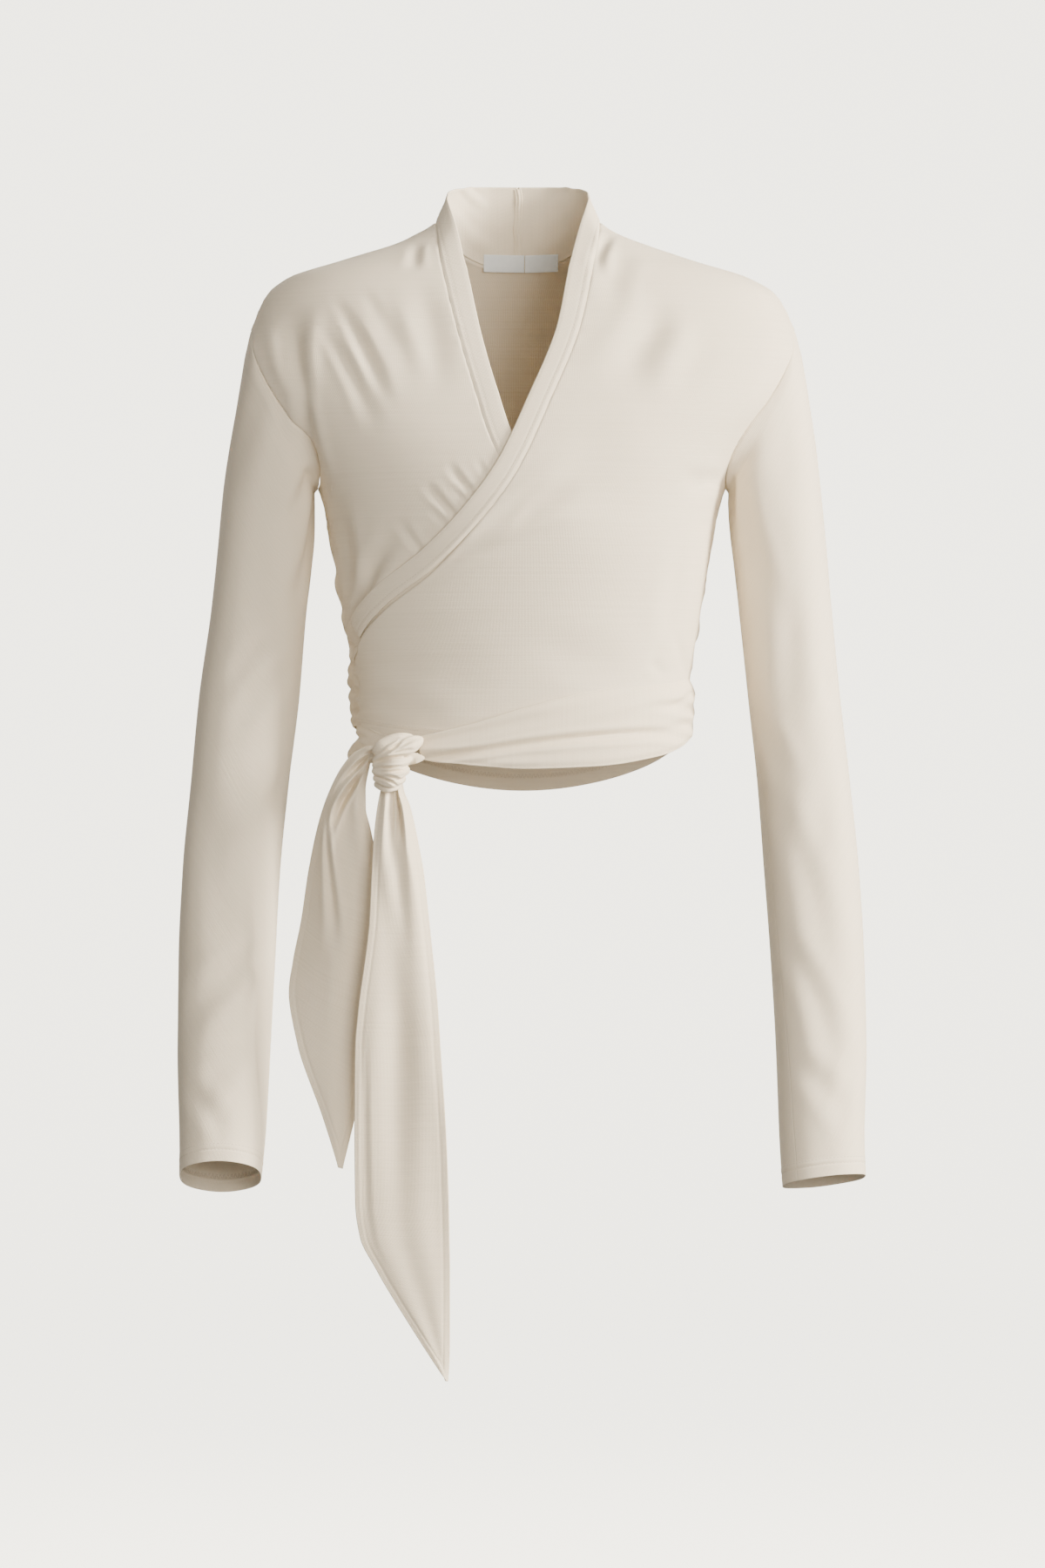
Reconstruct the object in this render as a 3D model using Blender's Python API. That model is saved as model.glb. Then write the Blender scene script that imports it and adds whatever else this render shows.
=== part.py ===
"""Wrap top, worn, with its ties knotted at the wearer's right hip.

The cloth is a thin wall everywhere and the form inside it is hollow. The tables are in millimetres and the model
is in metres, +Z up, with -Y to the wearer's front and +X to the wearer's left. The origin lies midway between the
two high shoulder points, where the garment is held up.

A place on the body's form is a turn and a height. A turn of 0 degrees is the centre front, 90 the wearer's left side,
180 the centre back and 270 (or -90) the wearer's right side.
"""

import math

import bpy
import numpy as np

MM = 0.001

# Driving dimensions, in millimetres
CLOTH = 1.5  # wall of every piece of jersey
LABEL = 1.0  # wall of the woven labels
SEAM_GAP = 0.3  # clearance where two pieces are sewn together
LAP = 2.8  # height of a lapped layer above the one beneath it
LAP_EASE = 22.0  # width over which the lapped front comes down to its own seams
SOFTENING = 14.0  # reach over which the sections are blended with those above and below
SQUARENESS = 0.05  # how much fuller than an ellipse the body's sections are
NECK_CENTRE = -4.25
BAND_WIDTH = 15.5  # neckband along the wrap edge
BAND_FLARE = 2.5  # extra width of the neckband high on the chest
HIGH_SHOULDER = 5.0  # height of the shoulder seam at the neck
SHOULDER_TOP = 3.0  # height of the fronts' highest row
SHOULDER_TIP = -80.0  # height where the armhole seam starts
ARMPIT = -204.0
ARMHOLE_DEPTH = 30.0  # turn, in degrees, that the armhole cuts into each panel
WRAP_END = -322.0  # height where the wrap edge reaches the side and its tie starts
SIDE_HEM = -392.0
FRONT_HEM_DIP = 14.0  # how much lower the hem is at the centre than at the sides
BACK_HEM_DIP = 47.0

# Counts of cells, which set how fine the faceted cloth is
SHOULDER_ROWS = 6
ARMHOLE_ROWS = 6
WRAP_ROWS = 10
HEM_ROWS = 3
FRONT_COLUMNS = 15
HALF_BACK_COLUMNS = 8
BAND_COLUMNS = 2
SLEEVE_STEPS = 11
SASH_COLUMNS = 4
TIE_COLUMNS = 8

# Horizontal sections of the body: half widths to the wearer's left and right, depths to the front and back
BODY_COLUMNS = ("z", "left", "right", "front", "back")
BODY_ROWS = (
    (35, 50, 58, 18, 30),
    (5, 60, 68.5, 24, 34),
    (-5, 74, 84, 33, 44),
    (-12, 92, 98, 39, 51),
    (-26, 135, 142, 50, 62),
    (-39, 176, 184, 60, 71),
    (-53, 198, 201, 69, 79),
    (-80, 212, 213, 83, 90),
    (-104, 223, 224, 93, 95),
    (-134, 215, 216, 104, 99),
    (-160, 190, 191, 112, 99),
    (-188, 167, 169, 117, 97),
    (-204, 157, 160, 118, 95),
    (-232, 150, 152, 116, 91),
    (-284, 141.5, 145, 105, 83),
    (-328, 135, 136, 96, 78),
    (-352, 129.5, 130.5, 93, 77),
    (-392, 127, 128, 91, 79),
    (-440, 126, 126, 92, 82),
)

# Neck seam and standing edge of the neckband, from the centre back round to the chest, as distances from the centre
NECK_COLUMNS = ("station", "seam_x", "seam_z", "edge_x", "edge_y", "edge_z")
NECK_ROWS = (
    (0.00, 0, -28, 0, 50, 35),
    (0.30, 22, -26, 20, 48.5, 35),
    (0.55, 40, -19.5, 37, 42, 34.5),
    (0.76, 54, -9, 50, 29, 32),
    (0.90, 62, 1, 55.5, 16, 28),
    (1.00, 64.25, 5, 56, 4, 23),
)
FRONT_NECK_COLUMNS = ("z", "edge_x", "edge_y", "edge_z")
FRONT_NECK_ROWS = (
    (5, 56, 4, 23),
    (-5, 53, -10, 14),
    (-16, 48.5, -27, 0),
    (-30, 43.5, -45, -22),
)

# Seam between each front and its band: the wearer's left front laps over, the right one runs on beneath it
LEFT_SEAM_COLUMNS = ("z", "x")
LEFT_SEAM_ROWS = (
    (5, 60),
    (-34, 53.5),
    (-81, 43.5),
    (-140, 20),
    (-194, -5.3),
    (-232, -33.5),
    (-267, -68),
    (-298, -108),
    (-316, -123),
    (-330, -128),
    (-352, -127),
    (-392, -124.5),
)
RIGHT_SEAM_ROWS = (
    (5, -68.5),
    (-16, -66),
    (-54, -58),
    (-97, -47),
    (-134, -36),
    (-167, -25.5),
    (-204, -5),
    (-232, 20),
    (-267, 56),
    (-298, 90),
    (-330, 108),
    (-392, 110),
)

# Sleeves, ring by ring below the armhole: outer and inner edge, middle, half depth, and how far the front tips up
SLEEVE_COLUMNS = ("outer_z", "outer_x", "inner_z", "inner_x", "middle_y", "depth", "pitch")
RIGHT_SLEEVE_ROWS = (
    (-104, 218.5, -208, 163, -1, 54, 0),
    (-135, 223.5, -215, 163, 1, 55, 0),
    (-170, 229, -226, 163.3, 4, 55, 0),
    (-205, 234, -242, 164, 7, 54, 0),
    (-250, 238.5, -264, 166, 10, 53, 0),
    (-300, 244, -302, 170, 12, 52, 1),
    (-366, 253.5, -366, 175.5, 13, 51, 2),
    (-434, 260, -434, 184, 10, 49, 4),
    (-502, 266.5, -502, 190, 3, 47, 6),
    (-570, 269, -570, 193, -8, 45, 8),
    (-638, 269, -638, 196.5, -20, 42, 10),
    (-706, 267, -706, 200.5, -34, 39, 12),
    (-738, 266.5, -738, 203.5, -41, 38, 14),
)
LEFT_SLEEVE_ROWS = (
    (-104, 218.5, -208, 160, -1, 54, 0),
    (-135, 223.5, -215, 160, 1, 55, 0),
    (-170, 228.5, -226, 160.5, 4, 55, 0),
    (-205, 232, -242, 162, 7, 54, 0),
    (-250, 236.5, -264, 165, 10, 53, 0),
    (-300, 241, -302, 169, 12, 52, 1),
    (-366, 247.5, -366, 176, 13, 51, 2),
    (-434, 255.5, -434, 183.5, 10, 49, 3),
    (-502, 262.5, -502, 188, 4, 47, 4),
    (-570, 266, -572, 192.5, -6, 45, 5),
    (-638, 267, -641, 196.5, -16, 42, 6),
    (-706, 265, -712, 199.5, -28, 39, 6),
    (-738, 265.5, -746, 201.5, -34, 38, 6),
)

# Largest folds, as soft troughs (negative) and ridges between two places: from_x, from_z, to_x, to_z, width, height
FRONT_FOLDS = (
    (-182, -66, -170, -170, 11, -5.0),
    (-160, -72, -147, -96, 9, -2.2),
    (-142, -76, -108, -160, 12, -2.6),
    (-124, -66, -104, -132, 9, 1.8),
    (150, -72, 76, -128, 14, -3.0),
    (160, -78, 100, -120, 12, 1.8),
    (-98, -240, -116, -280, 12, -2.4),
    (-145, -222, -138, -285, 9, -2.2),
)
BACK_FOLDS = (
    (182, -66, 168, -170, 11, -4.0),
    (-182, -66, -168, -170, 11, -4.0),
    (-120, -250, -40, -330, 14, -2.6),
    (118, -262, 30, -322, 12, -2.2),
    (-90, -300, 70, -338, 9, -1.8),
)

# The two ties where they are wound: the edges' heights round the body, the lift and the depth of the gathers
WOUND_COLUMNS = ("turn", "top", "bottom", "lift", "gather")
OVER_FRONT_ROWS = (
    (112, -350, -398, 5.4, 0.5),
    (90, -350, -396, 5.6, 0.5),
    (50, -353, -412, 6.0, 0.5),
    (25, -362, -420, 6.0, 0.7),
    (0, -376, -422, 6.4, 1.0),
    (-18, -389, -419, 8.0, 1.4),
    (-33.9, -398, -415, 12.0, 1.6),
)
OVER_BACK_ROWS = (
    (112.4, -350, -398, 5.4, 0.5),
    (150, -353, -402, 6.0, 0.6),
    (200, -352, -402, 6.0, 0.6),
    (240, -343, -396, 6.0, 0.8),
    (270, -334, -388, 5.6, 1.0),
    (285.6, -331, -386, 3.6, 0.6),
)
UNDER_BACK_ROWS = (
    (96, -372, -398, 2.6, 0.0),
    (140, -376, -412, 2.6, 0.0),
    (200, -380, -418, 2.6, 0.0),
    (245, -388, -417, 2.7, 0.2),
    (270, -391, -413, 3.0, 0.6),
    (290, -395, -411, 6.0, 1.0),
    (308, -401, -411, 13.0, 1.0),
)

# Free ends of the ties, station by station from the knot to the tip: both edges, distance to the front, and pleats
TIE_COLUMN_NAMES = ("outer_x", "outer_z", "inner_x", "inner_z", "y", "pleat")
LONG_TIE_ROWS = (
    (-109.5, -439.2, -90, -439.2, -87.5, 2.6),
    (-112, -452, -90, -452, -91, 3.8),
    (-114.5, -474, -82, -474, -93, 3.6),
    (-116, -501, -77, -501, -93, 2.8),
    (-118, -541, -72.5, -541, -92, 2.0),
    (-126.5, -608, -66, -608, -91, 1.4),
    (-129, -640, -64, -640, -90, 1.2),
    (-129.5, -702, -60, -702, -89, 1.0),
    (-129, -755, -58, -755, -89, 0.8),
    (-125.5, -782, -57.5, -782, -89, 0.8),
    (-111.5, -810, -57, -810, -89, 0.6),
    (-79, -863, -57, -863, -89, 0.3),
    (-60, -892, -58, -893, -89, 0.0),
)
SHORT_TIE_ROWS = (
    (-118, -405, -117.5, -416, -82, 1.2),
    (-129, -409, -120, -425, -80, 2.2),
    (-140, -421, -122, -438, -79, 3.0),
    (-150, -440, -122, -452, -79, 4.0),
    (-158, -463, -118, -470, -78, 4.6),
    (-166, -500, -112, -503, -77, 4.2),
    (-172, -540, -110, -541, -76, 3.2),
    (-178, -570, -111, -570, -75, 2.4),
    (-181, -595, -113, -595, -75, 1.8),
    (-174, -635, -120, -635, -75, 1.2),
    (-155, -689, -130, -689, -75, 0.6),
    (-142, -729, -140, -730, -75, 0.0),
)

# Knot: its middle, its half sizes, and the grooves between the turns of cloth wrapped round it
KNOT_CENTRE = (-98.0, -86.0, -417.0)
KNOT_SIZE = (19.0, 15.0, 21.5)
KNOT_GROOVES = 4
KNOT_GROOVE_DEPTH = 1.6
KNOT_RINGS = 13
KNOT_SIDES = 16

# Labels on the inside of the back neck: their ends across, their upper and lower edges
LABEL_ROWS = (
    ("label_main", -31, 0.5),
    ("label_size", 1.5, 27),
)
LABEL_TOP = -17.5
LABEL_BOTTOM = -30.5
LABEL_STANDOFF = 1.7
LABEL_CURL = 0.0018  # how fast the labels curve away from the middle of the neck, in 1/mm

CREAM = (0.76, 0.69, 0.57)
SHADE_OF_PIECE = {"body": 1.0, "sleeve": 0.97, "band": 1.03, "tie": 0.94}
LABEL_WHITE = (0.72, 0.70, 0.66)


def curve(knots, values):
    """Function through a table's values: smooth, and never past them."""
    knots, values = np.asarray(knots, float), np.asarray(values, float)
    order = np.argsort(knots)
    knots, values = knots[order], values[order]
    steps = np.diff(knots)
    slopes = np.diff(values) / steps
    before, after = slopes[:-1], slopes[1:]
    turning = before * after <= 0
    near, far = 2 * steps[1:] + steps[:-1], steps[1:] + 2 * steps[:-1]
    mean = near / np.where(turning, 1, before) + far / np.where(turning, 1, after)
    tangents = np.concatenate((slopes[:1], np.where(turning, 0, (near + far) / mean), slopes[-1:]))

    def value(at):
        at = np.clip(np.asarray(at, float), knots[0], knots[-1])
        cell = np.clip(np.searchsorted(knots, at, side="right") - 1, 0, len(steps) - 1)
        step, t = steps[cell], (at - knots[cell]) / steps[cell]
        rise = t * t * (3 - 2 * t)
        return (
            values[cell] * (1 - rise)
            + values[cell + 1] * rise
            + step * tangents[cell] * t * (1 - t) ** 2
            - step * tangents[cell + 1] * t * t * (1 - t)
        )

    return value


def table(columns, rows):
    """One smooth function for each named column, of the table's first column."""
    numbers = np.array(rows, float)
    return {name: curve(numbers[:, 0], numbers[:, k]) for k, name in enumerate(columns) if k}


def by_station(columns, rows):
    """One smooth function for each named column, of the row's place in the table from 0 to 1."""
    numbers = np.array(rows, float)
    stations = np.linspace(0, 1, len(rows))
    return {name: curve(stations, numbers[:, k]) for k, name in enumerate(columns)}


BODY = table(BODY_COLUMNS, BODY_ROWS)
NECK = table(NECK_COLUMNS, NECK_ROWS)
FRONT_NECK = table(FRONT_NECK_COLUMNS, FRONT_NECK_ROWS)
SEAM = {1: table(LEFT_SEAM_COLUMNS, LEFT_SEAM_ROWS)["x"], -1: table(LEFT_SEAM_COLUMNS, RIGHT_SEAM_ROWS)["x"]}


def smooth(share):
    share = np.clip(share, 0, 1)
    return share * share * (3 - 2 * share)


def fullness(turn):
    return 1 + SQUARENESS * np.sin(2 * turn) ** 2


def section(name, z):
    """One measure of the body's section at a height, softened below the shoulders."""
    reach = SOFTENING * smooth((SHOULDER_TIP + 10 - z) / 60)
    return (BODY[name](z - reach) + 2 * BODY[name](z) + BODY[name](z + reach)) / 4


def form(turn, z):
    """Plain body form at a turn in degrees and a height, before folds."""
    angle = np.radians(turn)
    across, along = np.sin(angle), np.cos(angle)
    width = np.where(across >= 0, section("left", z), section("right", z))
    depth = np.where(along >= 0, section("front", z), section("back", z))
    return np.stack((width * across * fullness(angle), -depth * along * fullness(angle), z + 0 * angle), -1)


def outward(turn, z):
    """Unit normals of the plain body form."""
    turn, z = np.broadcast_arrays(np.asarray(turn, float), np.asarray(z, float))
    around = form(turn + 0.5, z) - form(turn - 0.5, z)
    upwards = form(turn, z + 0.5) - form(turn, z - 0.5)
    normal = np.cross(around, upwards)
    return normal / np.linalg.norm(normal, axis=-1, keepdims=True)


def turn_at(x, z):
    """Turn of the front place that is x from the middle at height z."""
    width = np.where(np.asarray(x) >= 0, section("left", z), section("right", z))
    angle = np.zeros(np.broadcast(x, z).shape)
    for _ in range(12):
        angle = np.arcsin(np.clip(x / (width * fullness(angle)), -1, 1))
    return np.degrees(angle)


def fold_height(x, z, folds):
    """Sum of soft troughs and ridges, each fading at its two ends."""
    total = np.zeros(np.broadcast(x, z).shape)
    for from_x, from_z, to_x, to_z, width, height in folds:
        run_x, run_z = to_x - from_x, to_z - from_z
        length = math.hypot(run_x, run_z)
        along = ((x - from_x) * run_x + (z - from_z) * run_z) / length**2
        across = ((x - from_x) * run_z - (z - from_z) * run_x) / length
        fade = smooth(along * 3) * smooth((1 - along) * 3)
        total = total + height * fade * np.exp(-((across / width) ** 2))
    return total


def edge_fade(turn, z):
    """1 in the middle of a panel and 0 at its shoulder, armhole and side seams, where folds die away."""
    return smooth(np.abs(np.cos(np.radians(turn))) * 2.2) * smooth((z - SIDE_HEM) / 30 + 0.4)


def cloth(turn, z, lift=0.0):
    """Places on the cloth, with its folds, moved out by lift."""
    plain = form(turn, z)
    front = np.cos(np.radians(turn)) >= 0
    folds = np.where(
        front,
        fold_height(plain[..., 0], plain[..., 2], FRONT_FOLDS),
        fold_height(plain[..., 0], plain[..., 2], BACK_FOLDS),
    )
    height = folds * edge_fade(turn, z) + lift
    return plain + outward(turn, z) * height[..., None]


def armhole_share(step):
    """Height of the armhole seam at a share of the way from the shoulder tip to the armpit."""
    return SHOULDER_TIP + (ARMPIT - SHOULDER_TIP) * (1 - np.cos(np.pi * step)) / 2


def armhole_cut(z):
    """Degrees that the armhole takes off a panel's edge at a height."""
    step = np.arccos(np.clip(1 - 2 * (z - SHOULDER_TIP) / (ARMPIT - SHOULDER_TIP), -1, 1)) / np.pi
    return ARMHOLE_DEPTH * np.sin(np.pi * step) ** 0.8


def panel_rows():
    """Heights of a panel's rows along its shoulder, armhole and side seam."""
    bend = np.linspace(0, 1, SHOULDER_ROWS + 1) ** 1.25
    shoulder = SHOULDER_TOP + (SHOULDER_TIP - SHOULDER_TOP) * bend
    armhole = armhole_share(np.linspace(0, 1, ARMHOLE_ROWS + 1))[1:]
    wrap = np.linspace(ARMPIT, WRAP_END, WRAP_ROWS + 1)[1:]
    below = np.linspace(WRAP_END, SIDE_HEM, HEM_ROWS + 1)[1:]
    return np.concatenate((shoulder, armhole, wrap, below))


def hem_drop(turn, z, dip):
    """How much lower a row lies at the centre than at the sides."""
    share = smooth((ARMPIT - z) / (ARMPIT - SIDE_HEM))
    return dip * share * np.cos(np.radians(turn)) ** 2


def lap(turn, z):
    """Lift of the over front, which comes down to its own seams at the wearer's left side."""
    edge = form(90 - armhole_cut(z), z)[..., 0]
    return LAP * smooth((edge - form(turn, z)[..., 0]) / LAP_EASE)


FIRST_COLUMN = (slice(None), 0), (slice(None), 1)
LAST_COLUMN = (slice(None), -1), (slice(None), -2)
FIRST_ROW = 0, 1


def drawn_in(points, edge):
    """Grid with one edge drawn back by the seam gap towards its neighbouring row or column."""
    moved = points.copy()
    at, beside = edge
    run = moved[beside] - moved[at]
    moved[at] += run / np.linalg.norm(run, axis=-1, keepdims=True) * SEAM_GAP
    return moved


def front_panel(side):
    """Outer and inner grids of a front: side 1 is the wearer's left front, on top, and -1 the right one."""
    z = panel_rows()
    inner_edge = turn_at(SEAM[side](z), z)
    outer_edge = side * (90 - armhole_cut(z))
    step = np.linspace(0, 1, FRONT_COLUMNS + 1)
    turn = inner_edge[:, None] + (outer_edge - inner_edge)[:, None] * step
    height = z[:, None] - hem_drop(turn, z[:, None], FRONT_HEM_DIP)
    lift = lap(turn, height) if side > 0 else 0 * turn
    outer, inner = cloth(turn, height, lift), cloth(turn, height, lift - CLOTH)
    return drawn_in(outer, LAST_COLUMN), drawn_in(inner, LAST_COLUMN)


def neck_seam(station, side):
    """Turn and height of the back neck seam, from the centre back (0) to the high shoulder (1)."""
    x, z = NECK_CENTRE + side * NECK["seam_x"](station), NECK["seam_z"](station)
    return 180 - turn_at(x, z), z


def half_back(side):
    """Turns and heights of half the back, its first column at the centre back."""
    station = np.linspace(0, 1, HALF_BACK_COLUMNS + 1)
    neck_turn, neck_z = neck_seam(station, side)
    rows = np.concatenate(([HIGH_SHOULDER], panel_rows()))
    share = smooth((rows[0] - rows) / (rows[0] - SHOULDER_TIP))[:, None]
    edge = 180 - side * (90 - armhole_cut(rows))[:, None]
    centre = 180 - turn_at(NECK_CENTRE, -28.0)
    level = centre + (edge - centre) * station
    turn = neck_turn * (1 - share) + level * share
    drop = (neck_z[-1] - neck_z) * (1 - share)
    z = rows[:, None] - drop
    return turn, z - hem_drop(turn, z, BACK_HEM_DIP)


def back_panel():
    left_turn, left_z = half_back(1)
    right_turn, right_z = half_back(-1)
    turn = np.concatenate((left_turn[:, ::-1], right_turn[:, 1:]), 1)
    z = np.concatenate((left_z[:, ::-1], right_z[:, 1:]), 1)
    outer, inner = cloth(turn, z), cloth(turn, z, -CLOTH)
    for edge in (FIRST_COLUMN, LAST_COLUMN):
        outer, inner = drawn_in(outer, edge), drawn_in(inner, edge)
    return outer, inner


def grid_normals(points, closed=False):
    """Unit normals of a grid of points, from its neighbours along and across."""
    if closed:
        across = np.roll(points, -1, 1) - np.roll(points, 1, 1)
    else:
        across = np.gradient(points, axis=1)
    normal = np.cross(across, np.gradient(points, axis=0))
    return normal / np.linalg.norm(normal, axis=-1, keepdims=True)


def band_width(z):
    return BAND_WIDTH + BAND_FLARE * smooth((z + 130) / 110)


def row_dot(a, b):
    return np.einsum("ij,ij->i", a, b)


def edge_step(z, turn, side):
    """Step in turn and height from a front's seam straight across its band."""
    above, below = (form(turn_at(SEAM[side](z + k), z + k), z + k) for k in (1, -1))
    along = (below - above) / np.linalg.norm(below - above, axis=-1, keepdims=True)
    across = -side * np.cross(outward(turn, z), along) * band_width(z)[:, None]
    per_turn = form(turn + 0.5, z) - form(turn - 0.5, z)
    per_z = form(turn, z + 0.5) - form(turn, z - 0.5)
    tt, tz, zz = row_dot(per_turn, per_turn), row_dot(per_turn, per_z), row_dot(per_z, per_z)
    t, h = row_dot(across, per_turn), row_dot(across, per_z)
    return (t * zz - h * tz) / (tt * zz - tz**2), (h * tt - t * tz) / (tt * zz - tz**2)


def front_band(z, side, lift):
    """Grid of a band's stretch on the front, one row for each height of its seam."""
    turn = turn_at(SEAM[side](z), z)
    step_turn, step_z = edge_step(z, turn, side)
    across = np.linspace(0, 1, BAND_COLUMNS + 1)
    turn = turn[:, None] + step_turn[:, None] * across
    height = z[:, None] + step_z[:, None] * across
    lying = cloth(turn, height, lift[:, None] + 0 * turn)
    standing_edge = np.stack(
        (NECK_CENTRE + side * FRONT_NECK["edge_x"](z), FRONT_NECK["edge_y"](z), FRONT_NECK["edge_z"](z)), -1
    )
    seam = lying[:, :1]
    standing = seam + (standing_edge[:, None] - seam) * across[:, None]
    blend = smooth((-14 - z) / 26)[:, None, None]
    return standing * (1 - blend) + lying * blend


def neckband(side):
    """Outer and inner grids of half the band, from the centre back to the end of its front's wrap edge."""
    station = np.linspace(0, 1, HALF_BACK_COLUMNS + 1)
    seam_turn, seam_z = neck_seam(station, side)
    seam = cloth(seam_turn, seam_z)
    edge = np.stack(
        (NECK_CENTRE + side * NECK["edge_x"](station), NECK["edge_y"](station), NECK["edge_z"](station)), -1
    )
    across = np.linspace(0, 1, BAND_COLUMNS + 1)[:, None]
    collar = seam[:, None] + (edge - seam)[:, None] * across
    rows = panel_rows()
    rows = rows[rows >= WRAP_END]
    lift = lap(turn_at(SEAM[side](rows), rows), rows) if side > 0 else 0 * rows
    outer = np.concatenate((collar, front_band(rows, side, lift)))
    outer = drawn_in(outer, FIRST_COLUMN)
    outer[0, :, 0] += side * SEAM_GAP / 2
    normal = side * grid_normals(outer)
    return outer, outer - normal * CLOTH


def armhole_loop(side):
    """Places and normals round an armhole: from the shoulder tip down the front and up the back."""
    z = armhole_share(np.linspace(0, 1, ARMHOLE_ROWS + 1))
    cut = armhole_cut(z)
    turn = np.concatenate((side * (90 - cut), (180 - side * (90 - cut))[-2:0:-1]))
    z = np.concatenate((z, z[-2:0:-1]))
    return cloth(turn, z), outward(turn, z)


def sleeve(side, rows):
    """Outer and inner grids of a sleeve: the armhole, then slanting rings that level out down the arm."""
    column = by_station(SLEEVE_COLUMNS, rows)
    station = np.linspace(0, 1, SLEEVE_STEPS)
    at = {name: value(station)[:, None] for name, value in column.items()}
    count = 2 * ARMHOLE_ROWS
    angle = np.arange(count) * 2 * np.pi / count
    half_x, half_z = (at["outer_x"] - at["inner_x"]) / 2, (at["outer_z"] - at["inner_z"]) / 2
    x = at["inner_x"] + half_x * (1 + np.cos(angle))
    z = at["inner_z"] + half_z * (1 + np.cos(angle)) + at["pitch"] * np.sin(angle)
    y = at["middle_y"] - at["depth"] * np.sin(angle)
    rings = np.stack((side * x, y, z), -1)
    loop, panel_normal = armhole_loop(side)
    outer = drawn_in(np.concatenate((loop[None], rings)), FIRST_ROW)
    normal = side * grid_normals(outer, closed=True)
    shoulder_share = (1 + np.cos(angle[:, None])) / 2
    outer[0] += panel_normal * SEAM_GAP * (1 - shoulder_share)
    seam_normal = panel_normal * shoulder_share + normal[0] * (1 - shoulder_share)
    normal[0] = seam_normal / np.linalg.norm(seam_normal, axis=-1, keepdims=True)
    return outer, outer - normal * CLOTH


def wound_tie(rows, steps):
    """Outer and inner grids of a stretch of tie wound round the body, with gathers along it."""
    column = table(WOUND_COLUMNS, rows)
    turns = np.linspace(rows[0][0], rows[-1][0], steps + 1)[:, None]
    across = np.linspace(0, 1, SASH_COLUMNS + 1)
    top, bottom = column["top"](turns), column["bottom"](turns)
    z = top + (bottom - top) * across
    ripple = np.cos(2 * np.pi * 2 * across)
    lift = column["lift"](turns) + column["gather"](turns) * ripple
    plain, normal = form(turns + 0 * z, z), outward(turns + 0 * z, z)
    return plain + normal * lift[..., None], plain + normal * (lift - CLOTH)[..., None]


def tie_end(rows, steps):
    """Outer and inner grids of a free end that hangs from the knot, pleated where it leaves it."""
    column = by_station(TIE_COLUMN_NAMES, rows)
    station = np.linspace(0, 1, steps + 1)[:, None]
    across = np.linspace(0, 1, TIE_COLUMNS + 1)
    at = {name: value(station) for name, value in column.items()}
    x = at["outer_x"] + (at["inner_x"] - at["outer_x"]) * across
    z = at["outer_z"] + (at["inner_z"] - at["outer_z"]) * across
    y = at["y"] + at["pleat"] * np.cos(2 * np.pi * 2 * across)
    outer = np.stack((x, y, z), -1)
    back = np.array((0, CLOTH, 0))
    return outer, outer + back


def knot_grid():
    """Rings of the knot from end to end, and its two poles; grooves part the turns of cloth."""
    middle, size = np.array(KNOT_CENTRE), np.array(KNOT_SIZE)
    tilt = np.linspace(0, np.pi, KNOT_RINGS + 2)[1:-1, None]
    around = np.arange(KNOT_SIDES) * 2 * np.pi / KNOT_SIDES
    groove = KNOT_GROOVE_DEPTH * np.cos(2 * KNOT_GROOVES * tilt + 0.6 * np.sin(around)) * np.sin(tilt)
    radius = np.sin(tilt) ** 0.8
    direction = np.stack((radius * np.sin(around), -radius * np.cos(around), np.cos(tilt) + 0 * around), -1)
    points = middle + direction * (size + groove[..., None])
    top, bottom = middle + (0, 0, size[2]), middle - (0, 0, size[2])
    return points, top, bottom


def label_grids(from_x, to_x):
    """A small flat tab that stands just clear of the inside of the back neck."""
    x = np.linspace(from_x, to_x, 4)
    z = np.array((LABEL_TOP, LABEL_BOTTOM))
    depth = form(180 - turn_at(x, LABEL_BOTTOM), LABEL_BOTTOM)[:, 1] - LABEL_STANDOFF - CLOTH
    depth -= LABEL_CURL * (x - NECK_CENTRE) ** 2
    collar_lean = np.array((4.4, 0.6))
    y = depth[None] - collar_lean[:, None]
    outer = np.stack((x + 0 * y, y, z[:, None] + 0 * y), -1)
    return outer, outer - np.array((0, LABEL, 0))


def new_material(name, colour, roughness):
    material = bpy.data.materials.new(name)
    material.use_nodes = True
    shader = material.node_tree.nodes["Principled BSDF"]
    shader.inputs["Base Color"].default_value = (*colour, 1)
    shader.inputs["Roughness"].default_value = roughness
    shader.inputs["Metallic"].default_value = 0
    return material


def new_piece(name, points, faces, colour):
    """Closed piece whose faces point out, from points in millimetres."""
    points = np.asarray(points, float)
    corners = points[np.array(faces)]
    volume = np.einsum("ij,ij->", corners[:, 0], np.cross(corners[:, 1], corners[:, 2])) / 6
    if volume < 0:
        faces = [face[::-1] for face in faces]
    mesh = bpy.data.meshes.new(name)
    mesh.from_pydata((points * MM).tolist(), [], faces)
    mesh.materials.append(new_material(name, colour, 0.85))
    mesh.shade_smooth()
    piece = bpy.data.objects.new(name, mesh)
    bpy.context.scene.collection.objects.link(piece)
    return piece


def split(a, b, c, d):
    """Two triangles of a quad whose corners follow each other."""
    return [(a, b, c), (a, c, d)]


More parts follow.
